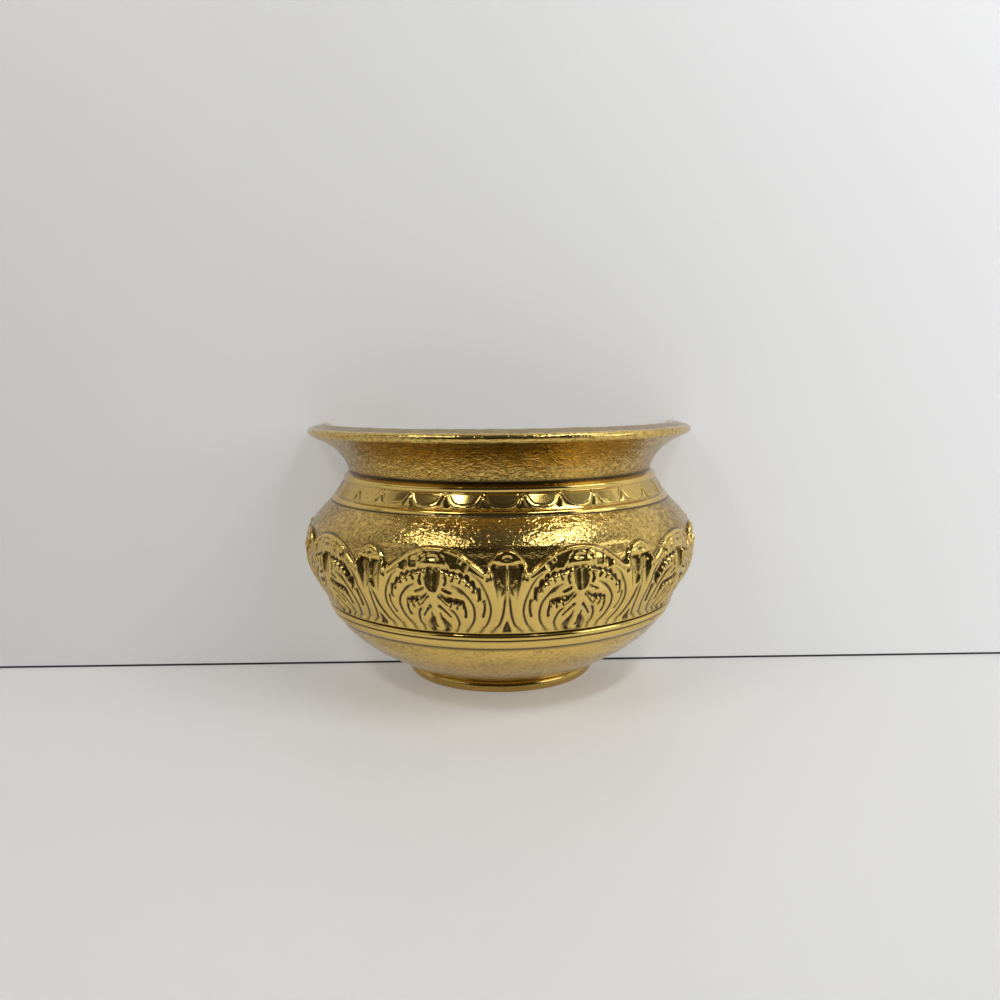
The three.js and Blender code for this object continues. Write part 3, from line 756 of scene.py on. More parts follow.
class Nodes:
    """Short way to write a node tree: each call adds a node and wires its inputs."""

    # Places of the colour sockets on a mix node
    FIRST_COLOUR, SECOND_COLOUR, MIXED_COLOUR = 6, 7, 2

    def __init__(self, tree):
        self.tree = tree

    def add(self, kind, inputs=None, **settings):
        node = self.tree.nodes.new(kind)
        for key, value in settings.items():
            setattr(node, key, value)
        for key, value in (inputs or {}).items():
            socket = node.inputs[key]
            if isinstance(value, bpy.types.NodeSocket):
                self.tree.links.new(value, socket)
            else:
                socket.default_value = value
        return node

    def math(self, operation, *values):
        return self.add("ShaderNodeMath", dict(enumerate(values)), operation=operation).outputs[0]

    def plus(self, first, *others):
        for other in others:
            first = self.math("ADD", first, other)
        return first

    def times(self, first, second):
        return self.math("MULTIPLY", first, second)

    def noise(self, place, scale, detail, distortion=0.0):
        texture = {"Vector": place, "Scale": scale, "Detail": detail, "Distortion": distortion}
        return self.add("ShaderNodeTexNoise", texture).outputs[0]

    def stretched(self, place, by):
        return self.add("ShaderNodeVectorMath", {0: place, 1: by}, operation="MULTIPLY").outputs[0]

    def ranged(self, value, low, high, start=0.0, end=1.0):
        """Goes from start to end as a value goes from low to high."""
        steps = {"Value": value, "From Min": low, "From Max": high, "To Min": start, "To Max": end}
        return self.add("ShaderNodeMapRange", steps).outputs[0]

    def mixed(self, factor, first, second):
        """A colour between two others."""
        inputs = {"Factor": factor, self.FIRST_COLOUR: first, self.SECOND_COLOUR: second}
        return self.add("ShaderNodeMix", inputs, data_type="RGBA").outputs[self.MIXED_COLOUR]

    def value(self, name, kind="FLOAT"):
        node = self.add("GeometryNodeInputNamedAttribute", {"Name": name}, data_type=kind)
        return next(socket for socket in node.outputs if socket.enabled)


def geometry_tree(name, sockets):
    """A new geometry node tree with named inputs, as (tree, writer, input node)."""
    tree = bpy.data.node_groups.new(name, "GeometryNodeTree")
    tree.interface.new_socket("Geometry", in_out="INPUT", socket_type="NodeSocketGeometry")
    for label, kind in sockets:
        tree.interface.new_socket(label, in_out="INPUT", socket_type=kind)
    tree.interface.new_socket("Geometry", in_out="OUTPUT", socket_type="NodeSocketGeometry")
    nodes = Nodes(tree)
    return tree, nodes, nodes.add("NodeGroupInput")


def close_tree(tree, nodes, geometry, material):
    """Ends a tree in real geometry with its material."""
    real = nodes.add("GeometryNodeRealizeInstances", {"Geometry": geometry})
    painted = nodes.add("GeometryNodeSetMaterial", {"Geometry": real.outputs[0], "Material": material})
    end = nodes.add("NodeGroupOutput")
    tree.links.new(painted.outputs[0], end.inputs[0])


def run_tree(piece, tree, values):
    """Runs a geometry node tree on a piece and leaves the result as a plain mesh."""
    modifier = piece.modifiers.new(tree.name, "NODES")
    modifier.node_group = tree
    for item in tree.interface.items_tree:
        if item.item_type == "SOCKET" and item.in_out == "INPUT" and item.name in values:
            modifier[item.identifier] = values[item.name]
    bpy.context.view_layer.update()
    shape = piece.evaluated_get(bpy.context.evaluated_depsgraph_get())
    made = bpy.data.meshes.new_from_object(shape, preserve_all_data_layers=True,
                                           depsgraph=bpy.context.evaluated_depsgraph_get())
    piece.modifiers.remove(modifier)
    if piece.type == "MESH":
        piece.data = made
        return piece
    name = piece.name
    bpy.data.objects.remove(piece)
    return linked(name, made)


def press_tree():
    """Presses the leaf and lunette dies, and shallow hammer dents, into the turned blank."""
    numbers = ("Leaf repeat", "Lunette repeat", "Leaf turn", "Leaf die low", "Leaf die high",
               "Lunette die high", "Leaf depth", "Lunette depth", "Dent depth", "Dent size", "Ground hammer",
               "Ground dull", "Side dull", "Seed")
    sockets = [("Leaf die", "NodeSocketObject"), ("Lunette die", "NodeSocketObject"),
               *[(label, "NodeSocketFloat") for label in numbers], ("Material", "NodeSocketMaterial")]
    tree, nodes, given = geometry_tree("press the sheet", sockets)
    put = given.outputs
    turn, run = nodes.value("turn"), nodes.value("run")

    def struck(die, repeat, start, low, high, what):
        """What a die carries at the place that each point of the sheet comes under."""
        half = nodes.math("DIVIDE", put[repeat], 2.0)
        folded = nodes.math("DIVIDE", nodes.math("PINGPONG", nodes.math("SUBTRACT", turn, start), half), half)
        level = nodes.math("DIVIDE", nodes.math("SUBTRACT", run, low), nodes.math("SUBTRACT", high, low))
        level = nodes.add("ShaderNodeClamp", {"Value": level}).outputs[0]
        place = nodes.add("ShaderNodeCombineXYZ", {"X": folded, "Y": level}).outputs[0]
        shape = nodes.add("GeometryNodeObjectInfo", {"Object": put[die]}).outputs["Geometry"]
        sample = nodes.add("GeometryNodeSampleUVSurface", {"Mesh": shape}, data_type="FLOAT")
        tree.links.new(nodes.value(what), sample.inputs["Value"])
        tree.links.new(nodes.value("die_place", "FLOAT_VECTOR"), sample.inputs["Source UV Map"])
        tree.links.new(place, sample.inputs["Sample UV"])
        return sample.outputs["Value"]

    on_leaf, on_band = nodes.value("leaf"), nodes.value("band")
    marks = {}
    for what in ("press", "recess", "crest", "bare"):
        leaf = struck("Leaf die", "Leaf repeat", put["Leaf turn"], put["Leaf die low"], put["Leaf die high"],
                      what)
        lunette = struck("Lunette die", "Lunette repeat", 0.0, 0.0, put["Lunette die high"], what)
        marks[what] = nodes.times(leaf, on_leaf), nodes.times(lunette, on_band)
    lift = nodes.plus(nodes.times(marks["press"][0], put["Leaf depth"]),
                      nodes.times(marks["press"][1], put["Lunette depth"]))
    where = nodes.add("GeometryNodeInputPosition").outputs[0]
    noise = nodes.add("ShaderNodeTexNoise", {"Vector": where, "W": put["Seed"], "Detail": 1.0},
                      noise_dimensions="4D")
    tree.links.new(nodes.math("DIVIDE", 1.0, put["Dent size"]), noise.inputs["Scale"])
    dent = nodes.times(nodes.math("SUBTRACT", noise.outputs[0], 0.5), put["Dent depth"])
    beaten = nodes.plus(nodes.value("hammer"), nodes.times(marks["bare"][0], put["Ground hammer"]))
    lift = nodes.times(nodes.plus(lift, nodes.times(dent, nodes.value("hammer"))), MM)
    push = nodes.add("ShaderNodeVectorMath", {0: nodes.value("press_way", "FLOAT_VECTOR")}, operation="SCALE")
    tree.links.new(lift, push.inputs["Scale"])
    # Painted shade: the shell grows darker towards its sides, stored with its dulling
    side = nodes.ranged(nodes.math("ABSOLUTE", turn), *SIDE_SHADE_RANGE, 0.0, put["Side dull"])
    dulled = nodes.plus(nodes.value("dull"), side, nodes.times(marks["bare"][0], put["Ground dull"]))
    kept = {"beaten": beaten, "dulled": dulled}
    # The recess darkens with patina and painted shade, and the crest is rubbed brighter
    for what in ("recess", "crest"):
        turned = nodes.times(nodes.value("dip"), 1.0 if what == "recess" else -1.0)
        kept[what] = nodes.plus(*marks[what], nodes.math("MAXIMUM", turned, 0.0))
    sheet = put["Geometry"]
    for what, value in kept.items():
        mark = {"Geometry": sheet, "Name": what, "Value": value}
        stored = nodes.add("GeometryNodeStoreNamedAttribute", mark, data_type="FLOAT", domain="POINT")
        sheet = stored.outputs[0]
    pressed = nodes.add("GeometryNodeSetPosition", {"Geometry": sheet, "Offset": push.outputs[0]})
    close_tree(tree, nodes, pressed.outputs[0], put["Material"])
    return tree


def section_tree():
    """Runs a closed section along a path, with a hand-made waver."""
    sockets = [("Section", "NodeSocketObject"), ("Waver", "NodeSocketFloat"),
               ("Waver size", "NodeSocketFloat"), ("Seed", "NodeSocketFloat"),
               ("Material", "NodeSocketMaterial")]
    tree, nodes, given = geometry_tree("run a section along a path", sockets)
    put = given.outputs
    upright = nodes.add("GeometryNodeSetCurveNormal", {"Curve": put["Geometry"]}, mode="Z_UP")
    section = nodes.add("GeometryNodeObjectInfo", {"Object": put["Section"]}).outputs["Geometry"]
    bar = nodes.add("GeometryNodeCurveToMesh", {"Curve": upright.outputs[0], "Profile Curve": section,
                                                "Fill Caps": True})
    noise = nodes.add("ShaderNodeTexNoise", {"W": put["Seed"], "Detail": 2.0}, noise_dimensions="4D")
    tree.links.new(nodes.math("DIVIDE", 1.0, put["Waver size"]), noise.inputs["Scale"])
    centre = (0.5, 0.5, 0.5)
    centred = nodes.add("ShaderNodeVectorMath", {0: noise.outputs["Color"], 1: centre}, operation="SUBTRACT")
    push = nodes.add("ShaderNodeVectorMath", {0: centred.outputs[0]}, operation="SCALE")
    tree.links.new(put["Waver"], push.inputs["Scale"])
    moved = nodes.add("GeometryNodeSetPosition", {"Geometry": bar.outputs[0], "Offset": push.outputs[0]})
    close_tree(tree, nodes, moved.outputs[0], put["Material"])
    return tree


def add_spline(data, points, closed):
    """Adds a line through points in millimetres to a curve."""
    spline = data.splines.new("POLY")
    spline.points.add(len(points) - 1)
    for point, place in zip(spline.points, points):
        point.co = (*[value * MM for value in place], 1.0)
    spline.use_cyclic_u = closed


def poly_path(name, points, closed=False):
    """A poly curve through points in millimetres."""
    data = bpy.data.curves.new(name, "CURVE")
    data.dimensions = "3D"
    add_spline(data, points, closed)
    return linked(name, data)


SAME_PLACE = 1e-6  # metres


def tidy_mesh(piece, turn=None):
    """Merges doubles, turns the faces outwards and applies a turn to the mesh itself."""
    shape = bmesh.new()
    shape.from_mesh(piece.data)
    if turn is not None:
        bmesh.ops.transform(shape, matrix=turn, verts=shape.verts)
    bmesh.ops.remove_doubles(shape, verts=shape.verts, dist=SAME_PLACE)
    bmesh.ops.recalc_face_normals(shape, faces=shape.faces)
    if shape.calc_volume(signed=True) < 0:
        bmesh.ops.reverse_faces(shape, faces=shape.faces)
    shape.to_mesh(piece.data)
    shape.free()


# Finishes
POLISHED = (0.85, 0.61, 0.18, 1)
TARNISHED = (0.46, 0.29, 0.08, 1)
# Dark fill of the recesses: patina, and painted shade in the grooves
PATINA_AND_SHADE = (0.055, 0.032, 0.011, 1)
PLATE_POLISHED = (0.70, 0.50, 0.19, 1)
PLATE_TARNISHED = (0.40, 0.27, 0.11, 1)
SOLDER_DARK = (0.30, 0.29, 0.27, 1)
SOLDER_BRIGHT = (0.62, 0.61, 0.58, 1)
SOLDER_ROUGHNESS = (0.3, 0.6)

# Tarnish is partly even, partly in clouds and partly in fine spots, and it is rubbed off the crests
EVEN_TARNISH = 0.42
CLOUD_TARNISH = 0.2
SPOT_TARNISH = 0.7
CREST_RUBBED = 0.7
CLOUD_RANGE = (0.38, 0.72)
SPOT_RANGE = (0.55, 0.75)
TARNISH_ROUGHENS = 0.35
DIRT_AND_SHADE_DEPTHS = (0.10, 0.72)  # depth where the patina and painted shade begin and where they cover the metal
DIRT_AND_SHADE_UNMETALS = 0.35

# The shell's own surface
FACET_SIZE = 0.0022  # metres from one hammer mark to the next
FACET_STRETCH = (1.0, 1.0, 1.6)
FACET_HEIGHT = 0.95
CREASE_STEEPNESS, CREASE_MOST = 2.2, 0.5
PATCH_RANGE, PATCH_STRENGTH = (0.35, 0.65), (0.8, 1.0)
SHELL_TARNISH = 0.32
INSIDE_TARNISH = 0.6
# Hammer dents are darkened, partly dirt and partly painted shade; hammer tops are brightened, partly rubbed
# and partly painted highlight
PIT_RANGE = (0.64, 0.38)
PIT_DIRT_AND_SHADE = 0.31
MOST_PITTED = 1.15  # hammering past this puts no more dirt and painted shade in the dents
RUBBED_AND_LIT_RANGE = (0.6, 0.95)
LEAF_GRAIN = 0.22
SHELL_RUBBING, PLATE_RUBBING = 0.02, 0.1
RUBBING_STRETCH = (60.0, 60.0, 900.0)

COLOUR, NUMBER, PLACE = "NodeSocketColor", "NodeSocketFloat", "NodeSocketVector"


def shader_group(name, inputs, outputs):
    """A new shader node group with named sockets, as (group, writer, input sockets)."""
    group = bpy.data.node_groups.new(name, "ShaderNodeTree")
    for label, kind, start in inputs:
        socket = group.interface.new_socket(label, in_out="INPUT", socket_type=kind)
        if start is not None:
            socket.default_value = start
    for label, kind in outputs:
        group.interface.new_socket(label, in_out="OUTPUT", socket_type=kind)
    nodes = Nodes(group)
    return group, nodes, nodes.add("NodeGroupInput").outputs


def close_group(nodes, results):
    end = nodes.add("NodeGroupOutput")
    for label, socket in results.items():
        nodes.tree.links.new(socket, end.inputs[label])


def hammer_group():
    """Crinkled hammer marks: small uneven facets with creases between them."""
    inputs = [("Place", PLACE, None), ("Facet size", NUMBER, FACET_SIZE)]
    group, nodes, put = shader_group("hammer marks", inputs, [("Height", NUMBER)])
    scale = nodes.math("DIVIDE", 1.0, put["Facet size"])
    drawn = nodes.stretched(put["Place"], FACET_STRETCH)

    def marks(per_facet, detail, distortion=0.0):
        return nodes.noise(drawn, nodes.times(scale, per_facet), detail, distortion)

    crease = nodes.math("SUBTRACT", marks(per_facet=0.55, detail=2.0, distortion=0.6), 0.5)
    crease = nodes.times(nodes.math("ABSOLUTE", crease), CREASE_STEEPNESS)
    crease = nodes.math("MINIMUM", crease, CREASE_MOST)
    patchy = nodes.ranged(marks(per_facet=0.12, detail=1.0), *PATCH_RANGE, *PATCH_STRENGTH)
    facets = nodes.times(marks(per_facet=0.9, detail=3.0), FACET_HEIGHT)
    close_group(nodes, {"Height": nodes.times(nodes.plus(crease, facets), patchy)})
    return group


def tone_group():
    """Colour, roughness and metal of brass: polished on its crests, tarnished, and dark with patina and
    painted shade in its recesses.
    """
    group, nodes, put = shader_group("brass tone", [
        ("Place", PLACE, None), ("Polished", COLOUR, POLISHED), ("Tarnished", COLOUR, TARNISHED),
        ("Patina", COLOUR, PATINA_AND_SHADE), ("Recess", NUMBER, 0.0), ("Crest", NUMBER, 0.0), ("Tarnish", NUMBER, 0.3),
        ("Smooth", NUMBER, 0.09), ("Dull", NUMBER, 0.30)],
        [("Color", COLOUR), ("Roughness", NUMBER), ("Metallic", NUMBER)])
    cloud = nodes.ranged(nodes.noise(put["Place"], scale=38.0, detail=5.0), *CLOUD_RANGE)
    spots = nodes.ranged(nodes.noise(put["Place"], scale=900.0, detail=3.0), *SPOT_RANGE)
    dull = nodes.plus(nodes.times(cloud, CLOUD_TARNISH), nodes.times(spots, SPOT_TARNISH), EVEN_TARNISH)
    # On the shell this tarnish also carries the painted shade of the sides
    dull = nodes.math("MINIMUM", nodes.times(dull, put["Tarnish"]), 1.0)
    dull = nodes.times(dull, nodes.math("SUBTRACT", 1.0, nodes.times(put["Crest"], CREST_RUBBED)))
    # Patina and painted shade fill the recesses
    dirt_and_shade_fill = nodes.ranged(put["Recess"], *DIRT_AND_SHADE_DEPTHS)
    colour = nodes.mixed(dirt_and_shade_fill, nodes.mixed(dull, put["Polished"], put["Tarnished"]), put["Patina"])
    worn = nodes.math("MAXIMUM", nodes.times(dull, TARNISH_ROUGHENS), dirt_and_shade_fill)
    rough = nodes.ranged(worn, 0.0, 1.0, put["Smooth"], put["Dull"])
    metal = nodes.math("SUBTRACT", 1.0, nodes.times(dirt_and_shade_fill, DIRT_AND_SHADE_UNMETALS))
    close_group(nodes, {"Color": colour, "Roughness": rough, "Metallic": metal})
    return group


def scratch_group():
    """Fine rubbing marks that run round the piece."""
    group, nodes, put = shader_group("rubbing marks", [("Place", PLACE, None)], [("Height", NUMBER)])
    place = nodes.stretched(put["Place"], RUBBING_STRETCH)
    close_group(nodes, {"Height": nodes.noise(place, scale=1.0, detail=4.0)})
    return group


def new_material(name):
    material = bpy.data.materials.new(name)
    material.use_nodes = True
    nodes = Nodes(material.node_tree)
    shader = material.node_tree.nodes["Principled BSDF"]
    place = nodes.add("ShaderNodeTexCoord").outputs["Object"]
    return material, nodes, shader, place


def use_group(nodes, group, inputs):
    """Places a group in a material with its own values."""
    return nodes.add("ShaderNodeGroup", inputs, node_tree=group).outputs


def read_mark(nodes, name):
    return nodes.add("ShaderNodeAttribute", attribute_name=name).outputs["Fac"]


def wear_tones(nodes, shader, tones):
    """Wires the brass tones into a shader."""
    for label, socket in (("Color", "Base Color"), ("Roughness", "Roughness"), ("Metallic", "Metallic")):
        nodes.tree.links.new(tones[label], shader.inputs[socket])


def raise_surface(nodes, shader, height, strength, depth):
    """Wires a height into a shader as bump, with its depth in metres."""
    bump = nodes.add("ShaderNodeBump", {"Height": height, "Strength": strength, "Distance": depth})
    nodes.tree.links.new(bump.outputs[0], shader.inputs["Normal"])


def pressed_brass(hammer, tone, scratch):
    """The shell: hammered on rim, neck, shoulder and bowl, satin on the leaves, polished on the ridge."""
    material, nodes, shader, place = new_material("pressed_brass")
    inside, dulled, beaten = [read_mark(nodes, name) for name in ("inside", "dulled", "beaten")]
    # The tarnish also carries the painted shade that darkens the sides
    tarnish_and_side_shade = nodes.plus(SHELL_TARNISH, nodes.times(inside, INSIDE_TARNISH), dulled)
    marks = use_group(nodes, hammer, {"Place": place, "Facet size": FACET_SIZE})["Height"]
    struck = nodes.math("MINIMUM", beaten, MOST_PITTED)
    # Darker dents and brighter tops of the hammer marks: dirt and rubbing, partly painted shade and painted
    # highlight
    pit_dirt_and_shade = nodes.times(nodes.ranged(marks, *PIT_RANGE, 0.0, PIT_DIRT_AND_SHADE), struck)
    rubbed_and_lit_tops = nodes.math("MINIMUM", nodes.times(nodes.ranged(marks, *RUBBED_AND_LIT_RANGE), struck), 1.0)
    recess = nodes.math("MAXIMUM", read_mark(nodes, "recess"), pit_dirt_and_shade)
    crest = nodes.math("MAXIMUM", read_mark(nodes, "crest"), rubbed_and_lit_tops)
    tones = {"Place": place, "Recess": recess, "Crest": crest, "Tarnish": tarnish_and_side_shade}
    wear_tones(nodes, shader, use_group(nodes, tone, tones))
    satin = nodes.times(read_mark(nodes, "leaf"), LEAF_GRAIN)
    grain = nodes.times(nodes.noise(place, scale=1500.0, detail=2.0), satin)
    rubbed = nodes.times(use_group(nodes, scratch, {"Place": place})["Height"], SHELL_RUBBING)
    height = nodes.plus(nodes.times(marks, beaten), grain, rubbed)
    raise_surface(nodes, shader, height, strength=0.85, depth=0.0002)
    return material


def foot_brass(tone, scratch):
    material, nodes, shader, place = new_material("foot_brass")
    tones = {"Place": place, "Tarnish": 1.5, "Smooth": 0.13, "Dull": 0.32}
    wear_tones(nodes, shader, use_group(nodes, tone, tones))
    rubbed = use_group(nodes, scratch, {"Place": place})["Height"]
    raise_surface(nodes, shader, rubbed, strength=0.2, depth=0.0001)
    return material


def plate_brass(tone, scratch):
    """The plate: dull rolled sheet that waves a little."""
    material, nodes, shader, place = new_material("plate_brass")
    tones = {"Place": place, "Tarnish": 0.8, "Smooth": 0.24, "Dull": 0.5, "Polished": PLATE_POLISHED,
             "Tarnished": PLATE_TARNISHED}
    wear_tones(nodes, shader, use_group(nodes, tone, tones))
    rubbed = nodes.times(use_group(nodes, scratch, {"Place": place})["Height"], PLATE_RUBBING)
    height = nodes.plus(rubbed, nodes.noise(place, scale=24.0, detail=1.0))
    raise_surface(nodes, shader, height, strength=0.5, depth=0.0012)
    return material


def soft_solder():
    material, nodes, shader, place = new_material("soft_solder")
    lumps = nodes.noise(place, scale=320.0, detail=4.0)
    nodes.tree.links.new(nodes.mixed(lumps, SOLDER_DARK, SOLDER_BRIGHT), shader.inputs["Base Color"])
    nodes.tree.links.new(nodes.ranged(lumps, 0.0, 1.0, *SOLDER_ROUGHNESS), shader.inputs["Roughness"])
    shader.inputs["Metallic"].default_value = 1.0
    raise_surface(nodes, shader, lumps, strength=0.4, depth=0.0004)
    return material


hammer_marks = hammer_group()
brass_tone = tone_group()
rubbing_marks = scratch_group()
shell_finish = pressed_brass(hammer_marks, brass_tone, rubbing_marks)
foot_finish = foot_brass(brass_tone, rubbing_marks)
plate_finish = plate_brass(brass_tone, rubbing_marks)
solder_finish = soft_solder()


# How the pieces are shaped beyond their sizes
DENT_DEPTH = 0.25
DENT_SIZE = 0.006  # metres
PRESS_SEED, WAVER_SEED = 3.0, 5.0
WAVER_SIZE = 3.0
SEAM_WAVER = 0.12
SEAM_SPACING = 1.5
SEAM_CLEAR = 0.97  # share of its distance from the shell that the seam's path keeps everywhere
FOOT_CHAMFER = 0.4


def front_shell():
    leaf_die = die_mesh("leaf_die", leaf_heights, LEAF_HALF, DIE_LOW, DIE_HIGH, leaf_shade_and_darkening)
    lunette_die = die_mesh("lunette_die", lunette_heights, LUNETTE_HALF, 0.0, BAND_HEIGHT)
    shell = turned_blank("pressed_shell", shell_rows())
    band = float(np.linalg.norm(outline["band"][1] - outline["band"][0]))
    run_tree(shell, press_tree(), {
        "Leaf die": leaf_die, "Lunette die": lunette_die, "Leaf repeat": LEAF_REPEAT, "Leaf turn": LEAF_TURN,
        "Lunette repeat": float(LUNETTE_REPEAT), "Leaf die low": DIE_LOW, "Leaf die high": DIE_HIGH,
        "Lunette die high": band, "Leaf depth": 1.0, "Lunette depth": 1.0, "Dent depth": DENT_DEPTH,
        "Dent size": DENT_SIZE, "Ground hammer": HAMMERED["shoulder"], "Ground dull": DULLED["shoulder"],
        "Side dull": SIDE_SHADE, "Seed": PRESS_SEED, "Material": shell_finish})
    for die in (leaf_die, lunette_die):
        bpy.data.objects.remove(die)
    return shell


FOOT_TOP = FOOT_HEIGHT - SOLDER_GAP
FOOT_EDGE = FOOT_RADIUS - FOOT_SWELL


def foot_face():
    """Outer face of the foot in (radius, height)."""
    swell = (FOOT_EDGE + 2 * FOOT_SWELL, FOOT_TOP / 2)
    return curve_through([(FOOT_EDGE, 0), swell, (FOOT_EDGE, FOOT_TOP)], 16)


def swept(name, path, section, waver, finish, turn=None):
    """A piece made by running a section (outwards, up) along a path."""
    guide = poly_path(name, path)
    outline_curve = poly_path(name + "_section", [(x, -y, 0) for x, y in section], closed=True)
    piece = run_tree(guide, section_run, {
        "Section": outline_curve, "Waver": waver * MM, "Waver size": WAVER_SIZE * MM, "Seed": WAVER_SEED,
        "Material": finish})
    bpy.data.objects.remove(outline_curve)
    tidy_mesh(piece, turn)
    return piece


section_run = section_tree()


def foot_ring():
    inner = FOOT_RADIUS - FOOT_WALL
    cut = FOOT_CHAMFER
    section = [*foot_face(), (inner + cut, FOOT_TOP), (inner, FOOT_TOP - cut), (inner, cut), (inner + cut, 0)]
    section = [(x - FOOT_EDGE, z) for x, z in section]
    return swept("turned_foot", round_points(FOOT_EDGE, 0, PLAIN)[0], section, 0.0, foot_finish)


def fillet(leg, round_by=0.35):
    """Hollow three-sided section of a solder seam, with its corner at the origin."""
    return [*curve_through([(leg, 0), (round_by * leg, round_by * leg), (0, leg)], 8), (0, 0)]


def foot_seam():
    outer = FOOT_RADIUS - FOOT_WALL - SOLDER_GAP
    section = [(-x, -y) for x, y in fillet(SOLDER_LEG)]
    path = round_points(outer, FOOT_TOP, PLAIN)[0]
    return swept("foot_solder", path, section, SEAM_WAVER, solder_finish)


def plate_side():
    """Right half of the plate's outline in (x, height)."""
    points = np.vstack([outline[zone] for zone in ZONES])
    points = np.array([p for p in points if p[0] > FOOT_RADIUS - FLOOR_CORNER])
    over = int(np.argmax(points[:, 1] > BACK_TOP))
    low, high = points[over - 1], points[over]
    share = (BACK_TOP - low[1]) / (high[1] - low[1])
    return [*map(tuple, foot_face()), *map(tuple, points[:over]), tuple(low + (high - low) * share)]


def back_plate():
    right = plate_side()
    head, slot = KEYHOLE_HEAD / 2, KEYHOLE_SLOT / 2
    meet = math.degrees(math.asin(slot / head))
    hole = [*arc((0, KEYHOLE_Z), head, 90 + meet, 450 - meet, 40),
            *arc((0, KEYHOLE_Z + KEYHOLE_RISE), slot, 0, 180, 16)]
    data = bpy.data.curves.new("rolled_plate", "CURVE")
    data.dimensions = "2D"
    data.fill_mode = "BOTH"
    data.extrude = (BACK_SHEET / 2 - PLATE_EDGE_ROUND) * MM
    data.bevel_depth = PLATE_EDGE_ROUND * MM
    data.bevel_resolution = 2
    data.offset = -PLATE_EDGE_ROUND * MM
    for points in (right + [(-x, z) for x, z in reversed(right)], hole):
        add_spline(data, [(x, z, 0) for x, z in points], closed=True)
    flat = linked("rolled_plate", data)
    bpy.context.view_layer.update()
    mesh = bpy.data.meshes.new_from_object(flat.evaluated_get(bpy.context.evaluated_depsgraph_get()))
    bpy.data.objects.remove(flat)
    plate = linked("rolled_plate", mesh)
    stand = Matrix.Translation((0, -BACK_SHEET / 2 * MM, 0)) @ Matrix.Rotation(math.pi / 2, 4, "X")
    tidy_mesh(plate, stand)
    mesh.materials.clear()
    mesh.materials.append(plate_finish)
    return plate


def back_seam():
    """Solder along the corner between the shell's lining and the plate."""
    points = np.vstack([resampled(outline[zone], SEAM_SPACING)[1:] for zone in ZONES])
    way = np.gradient(points, axis=0)
    way /= np.linalg.norm(way, axis=1)[:, None]
    seat = points - np.stack([way[:, 1], -way[:, 0]], -1) * (SHEET + SOLDER_GAP)
    gaps = nearness(points, seat[:, 0], seat[:, 1])[0]
    below_edge = np.arange(len(seat)) < int(np.argmax(seat[:, 1] > BACK_TOP - SOLDER_LEG))
    right = seat[(gaps > SEAM_CLEAR * (SHEET + SOLDER_GAP)) & below_edge]
    left = right[::-1] * (-1, 1)
    path = [(x, z, 0) for x, z in [*left, *right]]
    section = fillet(SOLDER_LEG)
    stand = Matrix.Translation((0, CUT_Y * MM, 0)) @ Matrix.Rotation(math.pi / 2, 4, "X")
    return swept("back_solder", path, [(-x, y) for x, y in section], SEAM_WAVER, solder_finish, stand)


PIECES = {
    "front_shell": (front_shell, "pressed_brass"),
    "back_plate": (back_plate, "plate_brass"),
    "foot_ring": (foot_ring, "foot_brass"),
    "back_seam_solder": (back_seam, "soft_solder"),
    "foot_seam_solder": (foot_seam, "soft_solder"),
}
for node, (make, slot) in PIECES.items():
    piece = make()
    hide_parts(node)
    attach(piece, "root")


# Stage: a pale table top and a pale wall that the pocket stands against, and lamps, all in metres
FLOOR_COLOUR = (0.80, 0.795, 0.78, 1)
WALL_COLOUR = (0.83, 0.83, 0.835, 1)
SHADOW_COLOUR = (0.05, 0.05, 0.05, 1)
PAINT_MOTTLE = 0.97  # the darker paint, next to the paler one
TABLE_ROUGHNESS, WALL_ROUGHNESS = 0.45, 0.6
STAGE_HALF = 12.0
TABLE_FRONT = -0.62
TABLE_THICK = 0.03
WALL_GAP = 0.0006
HOLE_SHARE = 0.975  # the opening in the wall behind the plate, next to the plate itself
SHADOW_GAP = 0.0013  # height of the dark line between the wall and the table
GLOW_REACH = 0.5  # distance from the middle to where the painted glow of the wall and table stops changing
FAR_GLOW = 0.3  # added well outside the picture, where no lamp reaches
FAR_RANGE = (2 * GLOW_REACH, 6 * GLOW_REACH)
WALL_GLOW = (0.17, 0.39)  # at the left and at the right
TABLE_GLOW = (0.19, 0.23)


